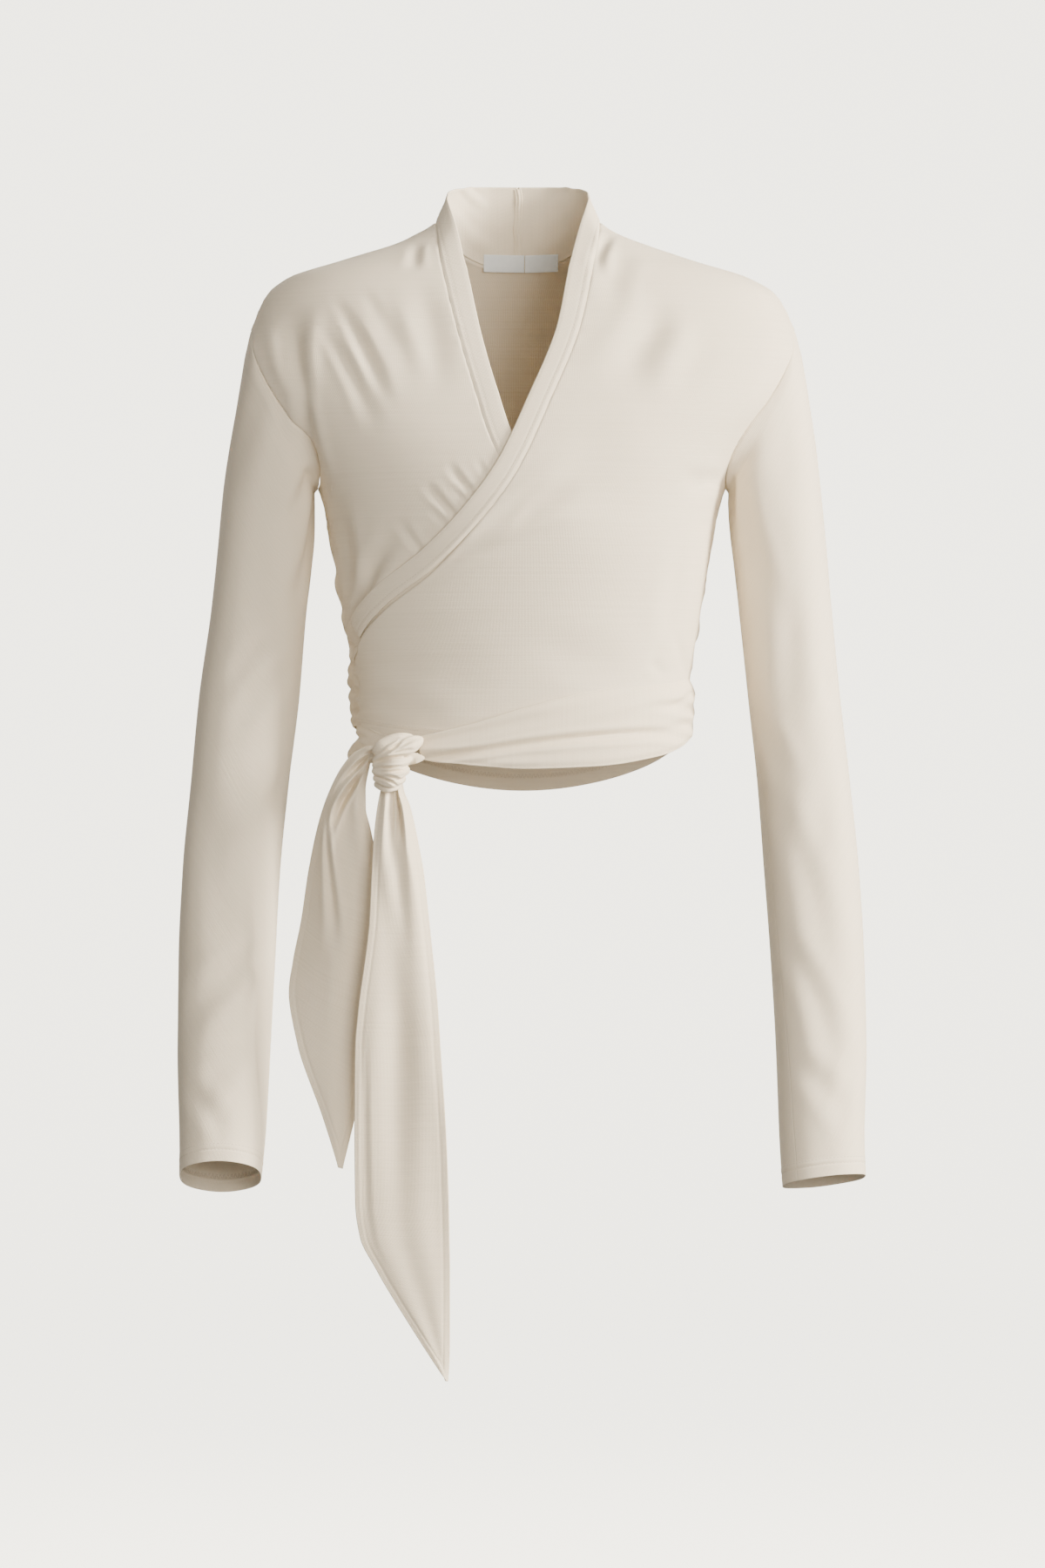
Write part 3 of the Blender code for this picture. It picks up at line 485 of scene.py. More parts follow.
# On the wound ties these are 2.2 mm for each degree of turn, and millimetres down from the upper edge
OVER_SASH_CREASES = (
    (-104, 5, 30, 12, 1, 2.6, 4.5, -1.3),
    (-104, 15, -40, 22, 0, 1.8, 3.0, -2.6),
    (-104, 8, 156, 46, -5, 2.4, 4.0, -3.6),
    (-60, 22, 20, 38, -1, 2.6, 4.0, -1.2),
    (-104, 4, -10, 4, 0, 2.2, 3.0, -1.2),
    (120, 22, 206, 12, 3, 3.2, 5.0, -1.6),
    (96, 20, 214, 34, 3, 3.6, 5.0, -1.8),
    (110, 38, 214, 40, 2, 3.4, 4.6, -1.7),
    (40, 14, 170, 6, 3, 4.0, 6.0, -1.2),
    (150, 26, 240, 22, 3, 4.0, 4.4, -1.6),
)
BACK_SASH_CREASES = (
    (246, 14, 420, 10, 4, 4.4, 5.5, -1.9),
    (250, 30, 440, 34, -4, 4.6, 5.0, -2.1),
    (330, 20, 520, 24, 3, 4.6, 5.0, -1.8),
    (430, 8, 626, 14, -3, 4.4, 3.4, -2.0),
    (410, 42, 600, 38, 3, 4.4, 3.6, -2.0),
    (500, 28, 628, 26, 2, 4.0, 3.0, -2.2),
    (560, 47, 628, 45, 0, 3.4, 2.8, -1.5),
)
UNDER_SASH_CREASES = (
    (572, 25, 634, 23, 0, 9, 9, 6.0),
    (240, 18, 430, 22, 2, 4.0, 4.4, -0.7),
    (400, 12, 560, 16, -2, 4.0, 3.4, -0.7),
    (540, 8, 636, 9, 0, 2.8, 2.2, -1.0),
    (600, 12, 672, 6, 0, 2.4, 2.0, -1.4),
)
# On the free ends these are millimetres down from the knot, and hundredths of the width from the outer edge
LONG_TIE_CREASES = (
    (6, 66, 52, 60, -2, 5, 8, -5.0),
    (6, 34, 80, 28, -3, 8, 12, -1.6),
    (60, 16, 210, 30, -5, 10, 18, -1.8),
    (150, 66, 330, 46, 6, 18, 24, -1.8),
    (210, 12, 372, 13, 1, 3.5, 4, -0.7),
    (230, 78, 400, 86, -3, 14, 16, -1.3),
)
SHORT_TIE_CREASES = (
    (12, 70, 62, 12, 6, 6, 6, -3.4),
    (24, 78, 92, 22, 5, 5, 7, -6.0),
    (80, 14, 186, 45, -3, 3.4, 7, -4.2),
    (90, 66, 240, 70, -6, 12, 16, -1.4),
    (150, 84, 300, 60, 4, 9, 14, -1.2),
)

# Turns of cloth in the knot, each along three places, with its half height at those places and half depth
KNOT_CENTRE = (-101.0, -86.0, -417.5)
KNOT_TURN_COLUMNS = ("place", "x", "y", "z", "half_height", "half_depth")
KNOT_TURNS = {
    "back of the top": (
        (0.0, -84, -90, -399.5, 4.2, 4.0),
        (0.4, -96, -97, -399.8, 4.6, 5.0),
        (0.75, -108, -97.5, -403.5, 4.6, 4.6),
        (1.0, -115.5, -91, -410.5, 3.2, 3.2),
    ),
    "over the top": (
        (0.0, -77, -92, -399.0, 3.2, 3.0),
        (0.3, -88, -99.5, -404.0, 6.8, 4.6),
        (0.65, -101, -102, -409.5, 6.4, 4.8),
        (1.0, -116, -93, -417, 2.6, 3.0),
    ),
    "upper wrap": (
        (0.0, -86.5, -92, -414, 3.4, 3.2),
        (0.5, -99, -103, -418.6, 4.3, 4.6),
        (1.0, -116.5, -92.5, -419.5, 2.6, 3.0),
    ),
    "middle wrap": (
        (0.0, -88, -91, -422.5, 3.4, 3.2),
        (0.5, -100.5, -103, -426.6, 4.4, 4.8),
        (1.0, -116.5, -91.5, -423.6, 2.6, 3.0),
    ),
    "lower wrap": (
        (0.0, -91, -90, -429, 3.2, 3.2),
        (0.5, -102, -100.5, -432.6, 3.4, 4.4),
        (1.0, -115.5, -91, -428.6, 2.8, 3.0),
    ),
    "bottom roll": (
        (0.0, -95, -88, -435, 2.4, 3.0),
        (0.5, -104.5, -96.5, -437, 2.6, 3.6),
        (1.0, -114.5, -89, -433, 2.4, 3.0),
    ),
    "flap at the side": (
        (0.0, -92, -92, -417, 4.6, 2.2),
        (0.6, -83, -92.5, -414.3, 4.4, 2.0),
        (1.0, -75.5, -92, -414.0, 1.2, 1.4),
    ),
    "behind, above": (
        (0.0, -88, -86, -405, 5.0, 4.0),
        (0.5, -102, -80, -404, 6.0, 4.5),
        (1.0, -115, -84, -412, 5.0, 4.0),
    ),
    "behind, below": (
        (0.0, -90, -86, -425, 6.0, 4.0),
        (0.5, -103, -80, -424, 7.0, 4.5),
        (1.0, -116, -84, -425, 6.0, 4.0),
    ),
}
KNOT_FRONT = 8.0  # depth over which the folds come in, from the knot's middle to its front
KNOT_CORE = (12.5, 11.0, 18.0)  # half sizes of the rounded body inside its turns
# Folds across the front of the knot, as x and z
KNOT_CREASES = (
    (-93, -400.5, -113, -412, -1.4, 1.2, 1.6, -3.6),
    (-88, -412, -117, -419, 1.2, 1.1, 1.5, -3.8),
    (-91, -419.5, -110, -421.5, -0.6, 0.8, 1.0, -2.2),
    (-89, -423.2, -113, -424.6, -1.0, 1.0, 1.3, -3.4),
    (-93, -431, -116, -427.6, 1.2, 1.1, 1.5, -3.2),
    (-96, -436.4, -116.5, -429, 2.4, 1.0, 1.2, -2.0),
    (-82, -399, -101, -409, 0.8, 1.3, 1.7, -1.7),
    (-84, -407, -103, -413, 0.8, 1.0, 1.3, -1.7),
)


def curve(knots, values):
    """Function through a table's values: smooth, and never past them."""
    knots, values = np.asarray(knots, float), np.asarray(values, float)
    order = np.argsort(knots)
    knots, values = knots[order], values[order]
    steps = np.diff(knots)
    slopes = np.diff(values) / steps
    before, after = slopes[:-1], slopes[1:]
    turning = before * after <= 0
    near, far = 2 * steps[1:] + steps[:-1], steps[1:] + 2 * steps[:-1]
    mean = near / np.where(turning, 1, before) + far / np.where(turning, 1, after)
    tangents = np.concatenate((slopes[:1], np.where(turning, 0, (near + far) / mean), slopes[-1:]))

    def value(at):
        at = np.clip(np.asarray(at, float), knots[0], knots[-1])
        cell = np.clip(np.searchsorted(knots, at, side="right") - 1, 0, len(steps) - 1)
        step, t = steps[cell], (at - knots[cell]) / steps[cell]
        rise = t * t * (3 - 2 * t)
        return (
            values[cell] * (1 - rise)
            + values[cell + 1] * rise
            + step * tangents[cell] * t * (1 - t) ** 2
            - step * tangents[cell + 1] * t * t * (1 - t)
        )

    return value


def table(columns, rows):
    """One smooth function for each named column, of the table's first column."""
    numbers = np.array(rows, float)
    return {name: curve(numbers[:, 0], numbers[:, k]) for k, name in enumerate(columns) if k}


def by_station(columns, rows):
    """One smooth function for each named column, of the row's place in the table from 0 to 1."""
    numbers = np.array(rows, float)
    stations = np.linspace(0, 1, len(rows))
    return {name: curve(stations, numbers[:, k]) for k, name in enumerate(columns)}


BODY = table(BODY_COLUMNS, BODY_ROWS)
NECK = table(NECK_COLUMNS, NECK_ROWS)
FRONT_NECK = table(FRONT_NECK_COLUMNS, FRONT_NECK_ROWS)
SEAM = {1: table(SEAM_COLUMNS, LEFT_SEAM_ROWS)["x"], -1: table(SEAM_COLUMNS, RIGHT_SEAM_ROWS)["x"]}


def smooth(share):
    """Soft step from 0 to 1 as the share goes from 0 to 1."""
    share = np.clip(share, 0, 1)
    return share * share * (3 - 2 * share)


def ramp(value, start, reach):
    """Soft step from 0 to 1 that begins at start and is complete a reach further on."""
    return smooth((value - start) / reach)


def bell(distance, reach):
    """1 where the distance is 0, falling to nothing a few reaches away."""
    return np.exp(-((distance / reach) ** 2))


def row_dot(a, b):
    """Dot products of two lists of vectors, row by row."""
    return np.einsum("ij,ij->i", a, b)


def dense_ends(count, start=0.85, end=0.85):
    """Shares from 0 to 1 that lie closer together towards the two ends, each by its own amount."""
    t = np.linspace(0, 1, count)
    return (t**3 - 2 * t**2 + t) * (1 - start) + 3 * t**2 - 2 * t**3 + (t**3 - t**2) * (1 - end)


def section(name, z):
    """One measure of the body's section at a height, softened below the shoulders."""
    reach = SOFTENING * smooth((SOFT_FROM - z) / SOFT_REACH)
    return (BODY[name](z - reach) + 2 * BODY[name](z) + BODY[name](z + reach)) / 4


def fullness(turn):
    """How much further out than an ellipse the body's section lies at a turn in radians."""
    return 1 + SQUARENESS * np.sin(2 * turn) ** 2


def form(turn, z):
    """Plain body form at a turn in degrees and a height, before folds."""
    angle = np.radians(turn)
    across, along = np.sin(angle), np.cos(angle)
    width = np.where(across >= 0, section("left", z), section("right", z))
    depth = np.where(along >= 0, section("front", z), section("back", z))
    return np.stack((width * across * fullness(angle), -depth * along * fullness(angle), z + 0 * angle), -1)


def outward(turn, z):
    """Unit normals of the plain body form."""
    turn, z = np.broadcast_arrays(np.asarray(turn, float), np.asarray(z, float))
    around = form(turn + 0.5, z) - form(turn - 0.5, z)
    upwards = form(turn, z + 0.5) - form(turn, z - 0.5)
    normal = np.cross(around, upwards)
    return normal / np.linalg.norm(normal, axis=-1, keepdims=True)


def turn_at(x, z):
    """Turn of the front place that is x from the middle at height z."""
    width = np.where(np.asarray(x) >= 0, section("left", z), section("right", z))
    angle = np.zeros(np.broadcast(x, z).shape)
    for _ in range(TURN_ROUNDS):
        angle = np.arcsin(np.clip(x / (width * fullness(angle)), -1, 1))
    return np.degrees(angle)


def creases(u, v, rows):
    """Sum of soft troughs and ridges, each with low shoulders beside it and fading at its two ends."""
    total = np.zeros(np.broadcast(u, v).shape)
    for from_u, from_v, to_u, to_v, bend, from_width, to_width, height in rows:
        run_u, run_v = to_u - from_u, to_v - from_v
        length = math.hypot(run_u, run_v)
        along = ((u - from_u) * run_u + (v - from_v) * run_v) / length**2
        share = np.clip(along, 0, 1)
        across = ((u - from_u) * run_v - (v - from_v) * run_u) / length - bend * 4 * share * (1 - share)
        width = from_width + (to_width - from_width) * share
        offset = np.abs(across) / width
        fade = smooth((along + 0.12) * 2.1) * smooth((1.12 - along) * 1.9)
        total = total + height * fade * (bell(offset, 1) - CREASE_SHOULDER * bell(offset - 1.8, 0.75))
    return total


def sway(u, v, height):
    """Slow, uneven undulation of cloth that hangs free."""
    return height * (
        np.sin(u / 31 + 1.3 * np.sin(v / 57)) * 0.5
        + np.sin(v / 41 - u / 67 + 0.8) * 0.35
        + np.sin(u / 17 - v / 29 + 2.1) * 0.15
    )


def wrap_edge_distance(x, z):
    """Distance inwards from the folded edge of the over front's band, negative on the cloth that shows."""
    heights = np.linspace(HIGH_SHOULDER, WRAP_END, EDGE_SAMPLES)
    seam = np.stack((SEAM[1](heights), heights), -1)
    along = np.gradient(seam, axis=0)
    along /= np.linalg.norm(along, axis=-1, keepdims=True)
    outwards = np.stack((along[:, 1], -along[:, 0]), -1)
    edge = seam + outwards * band_width(heights)[:, None]
    flat_x, flat_z = np.broadcast_arrays(x, z)
    away = np.stack((flat_x.ravel(), flat_z.ravel()), -1)[:, None] - edge
    nearest = np.argmin((away**2).sum(-1), axis=1)
    distance = row_dot(away[np.arange(len(nearest)), nearest], -outwards[nearest])
    return distance.reshape(flat_x.shape)


def tie_seam_wave(z):
    """How far the gathers push the over front's edge aside below its wrap edge, where its tie is sewn on."""
    wave = 1.6 * np.cos((z + 356) / 5.3) + 0.8 * np.cos((z + 350) / 3.1)
    return wave * smooth((WRAP_END - z) / 10) * smooth((z - SIDE_HEM) / 12)


def relief(turn, z, layer):
    """Height of the creases at a place on a layer of the body: "over", "under" or "back"."""
    plain = form(turn, z)
    x, height = plain[..., 0], plain[..., 2]
    wrapped = (np.asarray(turn) + 180) % 360 - 180
    total = creases(wrapped * SIDE_SCALE, height, SIDE_CREASES) + sway(x, height, SWAY_HEIGHT)
    if layer == "back":
        total = total + creases(x, height, BACK_CREASES)
    else:
        over = creases(x, height, OVER_FRONT_CREASES)
        if layer == "under":
            hidden = ramp(wrap_edge_distance(x, height), -1, HIDDEN_REACH)
            over = over * hidden + creases(x, height, UNDER_FRONT_CREASES) * (1 - hidden)
        total = total + over
    above_hem = smooth((height - SIDE_HEM + 10) / HEM_CALM)
    below_shoulder = smooth((SHOULDER_TOP + 2 - height) / SHOULDER_CALM)
    return total * above_hem * below_shoulder * CREASE_DEPTH


def cloth(turn, z, layer, lift=0.0):
    """Places on a layer's outer face, moved out by lift."""
    height = relief(turn, z, layer) + lift
    return form(turn, z) + outward(turn, z) * height[..., None]


def armhole_cut(z):
    """Degrees that the armhole takes off a panel's edge at a height."""
    step = np.arccos(np.clip(1 - 2 * (z - SHOULDER_TIP) / (ARMPIT - SHOULDER_TIP), -1, 1)) / np.pi
    return ARMHOLE_DEPTH * np.sin(np.pi * step) ** 0.8


def armhole_heights():
    """Heights of the rows along an armhole, closest together at its two ends."""
    station = np.linspace(0, 1, ARMHOLE_ROWS + 1)
    return SHOULDER_TIP + (ARMPIT - SHOULDER_TIP) * (1 - np.cos(np.pi * station)) / 2


def panel_rows():
    """Heights of a panel's rows along its shoulder, armhole and side seam, closest together at the hem."""
    shoulder = SHOULDER_TOP + (SHOULDER_TIP - SHOULDER_TOP) * np.linspace(0, 1, SHOULDER_ROWS + 1) ** 1.25
    side = np.linspace(ARMPIT, SIDE_HEM + HEM_REACH, SIDE_ROWS + 1)[1:]
    hem = SIDE_HEM + HEM_REACH * (1 - dense_ends(HEM_ROWS + 1, 0.0, 0.8)[1:])
    return np.concatenate((shoulder, armhole_heights()[1:], side, hem))


def hem_drop(turn, z, dip, power=2.0):
    """How much lower a row lies at the centre than at the sides."""
    share = smooth((ARMPIT - z) / (ARMPIT - SIDE_HEM))
    return dip * share * np.abs(np.cos(np.radians(turn))) ** power


def lap(turn, z):
    """Lift of the over front, which comes down to its own seams at the wearer's left side."""
    edge = form(90 - armhole_cut(z), z)[..., 0]
    return LAP * smooth((edge - form(turn, z)[..., 0]) / LAP_EASE)


def grid_normals(points, closed=False):
    """Unit normals of a grid of points, from its neighbours along and across."""
    if closed:
        across = np.roll(points, -1, 1) - np.roll(points, 1, 1)
    else:
        across = np.gradient(points, axis=1)
    normal = np.cross(across, np.gradient(points, axis=0))
    return normal / np.maximum(np.linalg.norm(normal, axis=-1, keepdims=True), 1e-9)


def facing(points, towards, closed=False):
    """Grid normals, all turned to the side that towards points to on the whole."""
    normal = grid_normals(points, closed)
    return normal * np.sign(np.sum(normal * towards))


def from_edge(points, axis, end):
    """Distance over the cloth from one edge of a grid: axis 0 counts rows, and end -1 starts at the last."""
    steps = np.linalg.norm(np.diff(points, axis=axis), axis=-1)
    start = np.zeros_like(np.take(steps, [0], axis=axis))
    run = np.concatenate((start, np.cumsum(steps, axis=axis)), axis=axis)
    return run if end == 0 else np.take(run, [-1], axis=axis) - run


def edge_and_next(axis, end):
    """Indices of one edge line of a grid and of the line beside it."""
    before = (slice(None),) * axis
    return before + (end,), before + (1 if end == 0 else -2,)


def run_into_seam(points, axis, end):
    """Carries one edge line of a grid on along the cloth, a little way into its seam."""
    at, beside = edge_and_next(axis, end)
    run = points[beside] - points[at]
    points[at] += run / np.linalg.norm(run, axis=-1, keepdims=True) * -SEAM_LAP


def pucker(distance, along, strength=PUCKER_HEIGHT):
    """Fine uneven gathers where a seam holds the cloth."""
    waves = np.sin(along / 1.9 + 1.7 * np.sin(along / 9.1)) + 0.6 * np.sin(along / 3.7 + 2.0)
    return strength * waves * bell(distance - PUCKER_PLACE, PUCKER_REACH)


def sewn(points, normal, edges, along):
    """Grid whose edges roll in to their seams and run a little way into them, slightly puckered."""
    moved = points.copy()
    for axis, end in edges:
        distance = from_edge(points, axis, end)
        moved += normal * (pucker(distance, along) - SEAM_DIP * bell(distance, SEAM_REACH))[..., None]
    for axis, end in edges:
        run_into_seam(moved, axis, end)
    return moved


def hemmed(points, normal, axis, end):
    """Grid with the turned-up hem's extra layer and the two dents that its stitching pulls in."""
    distance = from_edge(points, axis, end)
    layer = HEM_RAISE * smooth((HEM_DEPTH + 1.2 - distance) / 1.4)
    dents = sum(STITCH_DENT * bell(distance - row, DENT_REACH) for row in HEM_STITCH_ROWS)
    return points + normal * (layer - dents)[..., None]


def body_cloth_uv(turn, z):
    """Place on the body's cloth in metres, round it and up it."""
    return np.stack((turn * SIDE_SCALE, z + 0 * turn), -1) * MM


def front_panel(side):
    """A front: 1 is the wearer's left one, on top, and -1 the right one."""
    layer = "over" if side > 0 else "under"
    z = panel_rows()
    wave = tie_seam_wave(z) if side > 0 else 0
    inner_edge = turn_at(SEAM[side](z) + wave, z)
    outer_edge = side * (90 - armhole_cut(z))
    turn = inner_edge[:, None] + (outer_edge - inner_edge)[:, None] * dense_ends(FRONT_COLUMNS)
    height = z[:, None] - hem_drop(turn, z[:, None], FRONT_HEM_DIP)
    lift = lap(turn, height) if side > 0 else 0 * turn
    points, normal = cloth(turn, height, layer, lift), outward(turn, height)
    points = sewn(points, normal, ((1, 0), (1, -1)), height)
    points = hemmed(points, normal, 0, -1)
    return points, normal, body_cloth_uv(turn, height)


def neck_seam(station, side):
    """Turn and height of the back neck seam, from the centre back (0) to the high shoulder (1)."""
    x, z = NECK_CENTRE + side * NECK["seam_x"](station), NECK["seam_z"](station)
    return 180 - turn_at(x, z), z


def half_back(side):
    """Turns and heights of half the back, its first column at the centre back."""
    station = dense_ends(HALF_BACK_COLUMNS + 1, 0.0, 0.85)
    neck_turn, neck_z = neck_seam(station, side)
    rows = np.concatenate(([HIGH_SHOULDER], panel_rows()))
    share = smooth((rows[0] - rows) / (rows[0] - SHOULDER_TIP))[:, None]
    edge = 180 - side * (90 - armhole_cut(rows))[:, None]
    centre = 180 - turn_at(NECK_CENTRE, BACK_NECK)
    level = centre + (edge - centre) * station
    turn = neck_turn * (1 - share) + level * share
    drop = (neck_z[-1] - neck_z) * (1 - share)
    z = rows[:, None] - drop
    return turn, z - hem_drop(turn, z, BACK_HEM_DIP, BACK_HEM_POWER)


def back_panel():
    """The back, its two halves joined without a seam."""
    left_turn, left_z = half_back(1)
    right_turn, right_z = half_back(-1)
    turn = np.concatenate((left_turn[:, ::-1], right_turn[:, 1:]), 1)
    z = np.concatenate((left_z[:, ::-1], right_z[:, 1:]), 1)
    points, normal = cloth(turn, z, "back"), outward(turn, z)
    points = sewn(points, normal, ((1, 0), (1, -1), (0, 0)), z)
    points = hemmed(points, normal, 0, -1)
    return points, normal, body_cloth_uv(turn, z)


def band_width(z):
    """Width of the band on the front, which flares towards the collar."""
    return BAND_WIDTH + BAND_FLARE * ramp(z, FLARE_FROM, FLARE_REACH)


def edge_step(z, turn, side):
    """Step in turn and height from a front's seam straight across its band."""
    above, below = (form(turn_at(SEAM[side](z + k), z + k), z + k) for k in (1, -1))
    along = (below - above) / np.linalg.norm(below - above, axis=-1, keepdims=True)
    across = -side * np.cross(outward(turn, z), along) * band_width(z)[:, None]
    per_turn = form(turn + 0.5, z) - form(turn - 0.5, z)
    per_z = form(turn, z + 0.5) - form(turn, z - 0.5)
    tt, tz, zz = row_dot(per_turn, per_turn), row_dot(per_turn, per_z), row_dot(per_z, per_z)
    t, h = row_dot(across, per_turn), row_dot(across, per_z)
    return (t * zz - h * tz) / (tt * zz - tz**2), (h * tt - t * tz) / (tt * zz - tz**2)


def front_band(z, side, lift, across):
    """Grid of a band's stretch on the front, one row for each height of its seam."""
    turn = turn_at(SEAM[side](z), z)
    step_turn, step_z = edge_step(z, turn, side)
    turn = turn[:, None] + step_turn[:, None] * across
    height = z[:, None] + step_z[:, None] * across
    lying = cloth(turn, height, "over" if side > 0 else "under", lift[:, None] + 0 * turn)
    standing_edge = np.stack(
        (NECK_CENTRE + side * FRONT_NECK["edge_x"](z), FRONT_NECK["edge_y"](z), FRONT_NECK["edge_z"](z)), -1
    )
    seam = lying[:, :1]
    standing = seam + (standing_edge[:, None] - seam) * across[:, None]
    blend = smooth((BAND_LIES_FROM - z) / BAND_LIES_REACH)[:, None, None]
    return standing * (1 - blend) + lying * blend


def neckband(side):
    """Half the band, from the centre back to the end of the wrap edge, its first column at the seam."""
    station = np.linspace(0, 1, COLLAR_ROWS + 1)
    seam_turn, seam_z = neck_seam(station, side)
    seam = cloth(seam_turn, seam_z, "back")
    edge = np.stack(
        (NECK_CENTRE + side * NECK["edge_x"](station), NECK["edge_y"](station), NECK["edge_z"](station)), -1
    )
    across = dense_ends(BAND_COLUMNS + 1, 0.8, 0.7)
    collar = seam[:, None] + (edge - seam)[:, None] * across[:, None]
    rows = panel_rows()
    rows = rows[rows >= WRAP_END]
    lift = lap(turn_at(SEAM[side](rows), rows), rows) if side > 0 else 0 * rows
    points = np.concatenate((collar, front_band(rows, side, lift, across)))
    normal = side * grid_normals(points)
    along, from_seam = from_edge(points, 0, 0), from_edge(points, 1, 0)
    to_edge = from_edge(points, 1, -1)
    stand = smooth((COLLAR_LENGTH - along) / 50)
    height = pucker(from_seam, along, BAND_PUCKER_HEIGHT) - BAND_SEAM_DIP * bell(from_seam, SEAM_REACH)
    height += BAND_CROWN * smooth(from_seam / CROWN_REACH) * smooth(to_edge / EDGE_REACH)
    height -= BAND_DENT_SHARE * STITCH_DENT * bell(from_seam - BAND_STITCH_ROW, 1.0)
    height += stand * creases(along, from_seam, COLLAR_CREASES) * CREASE_DEPTH
    height -= COLLAR_SEAM_DIP * bell(along, 1.4) * stand
    points = points + normal * height[..., None]
    run_into_seam(points, 1, 0)
    uv = np.stack((from_seam, along), -1) * MM
    return points, normal, uv


def collar_allowance():
    """The pressed seam allowances up the inside of the collar at the centre back, a little wavy."""
    up = np.linspace(0, 1, 60)[:, None]
    across = np.linspace(-1, 1, 9) * ALLOWANCE_WIDTH / 2
    foot = cloth(np.array([180 - turn_at(NECK_CENTRE, BACK_NECK)]), np.array([BACK_NECK]), "back")[0]
    head = np.array((NECK_CENTRE, NECK["edge_y"](0.0), NECK["edge_z"](0.0)))
    middle = foot + (head - foot) * (0.02 + 0.96 * up)
    waver = 0.7 * np.sin(up * 9.0 + 0.6) + 0.3 * np.sin(up * 23.0)
    standing = thickness("band") + 0.9 + 0.35 * np.sin(up * 17) + 0.25 * np.cos(across * 1.9)
    x, y, z = middle[:, :1] + across + waver, middle[:, 1:2] - standing, middle[:, 2:] + 0 * across
    points = np.stack((x, y, z), -1)
    uv = np.stack((points[..., 0], points[..., 2]), -1) * MM
    return points, np.zeros_like(points) + np.array((0, -1.0, 0)), uv


def armhole_loop(side):
    """Places round an armhole: from the shoulder tip down the front and up the back."""
    z = armhole_heights()
    cut = armhole_cut(z)
    front, back = side * (90 - cut), (180 - side * (90 - cut))[-2:0:-1]
    down = cloth(front, z, "over" if side > 0 else "under")
    up = cloth(back, z[-2:0:-1], "back")
    return np.concatenate((down, up))


def sleeve(side, rows, crease_rows):
    """A sleeve: the armhole, then slanting rings that level out down the arm to the cuff."""
    column = by_station(SLEEVE_COLUMNS, rows)
    count = 2 * ARMHOLE_ROWS
    angle = np.arange(count) * 2 * np.pi / count

    def rings(station):
        at = {name: value(np.asarray(station))[:, None] for name, value in column.items()}
        half_x, half_z = (at["outer_x"] - at["inner_x"]) / 2, (at["outer_z"] - at["inner_z"]) / 2
        full = 1 + SLEEVE_FULLNESS * np.sin(2 * angle) ** 2
        x = at["inner_x"] + half_x * (1 + np.cos(angle) * full)
        z = at["inner_z"] + half_z * (1 + np.cos(angle)) + at["pitch"] * np.sin(angle)
        y = at["middle_y"] - at["depth"] * np.sin(angle) * full
        return np.stack((side * x, y, z), -1)

    lower = np.linspace(0, 1, SLEEVE_RINGS)
    hem_share = CUFF_REACH / SLEEVE_LENGTH
    hem = 1 - hem_share * (1 - dense_ends(HEM_ROWS, 0.0, 0.8))
    lower = np.concatenate((lower[lower < 1 - hem_share], hem))
    loop, first, second = armhole_loop(side), *rings([0.0, 0.02])
    reach = np.linalg.norm(first - loop, axis=-1, keepdims=True)
    leaving = (first - loop) * 0.7
    arriving = (second - first) / np.linalg.norm(second - first, axis=-1, keepdims=True) * reach
    t = dense_ends(SLEEVE_HEAD_RINGS, 0.85, 0.0)[:-1, None, None]
    head = (
        loop * (2 * t**3 - 3 * t**2 + 1)
        + leaving * (t**3 - 2 * t**2 + t)
        + first * (3 * t**2 - 2 * t**3)
        + arriving * (t**3 - t**2)
    )
    points = np.concatenate((head, rings(lower)))
    middle = points.mean(1, keepdims=True)
    normal = facing(points, points - middle, closed=True)
    around = np.degrees(angle) * SLEEVE_SCALE
    z = points[..., 2]
    height = sum(creases(around + turn * SLEEVE_SCALE, z, crease_rows) for turn in (-360, 0, 360))
    height += sway(around * 1.3, z * 0.8, SWAY_HEIGHT)
    distance = from_edge(points, 0, 0)
    ends = smooth(distance / SLEEVE_CALM) * smooth((from_edge(points, 0, -1) + 6) / 26)
    height = height * ends * CREASE_DEPTH
    height += pucker(distance, z) - SEAM_DIP * bell(distance, SEAM_REACH)
    points = points + normal * height[..., None]
    points = hemmed(points, normal, 0, -1)
    run_into_seam(points, 0, 0)
    wide = np.append(around, 360 * SLEEVE_SCALE)
    long = np.concatenate((distance, distance[:, :1]), 1)
    uv = np.stack((wide + 0 * long, -long), -1) * MM
    return points, normal, uv


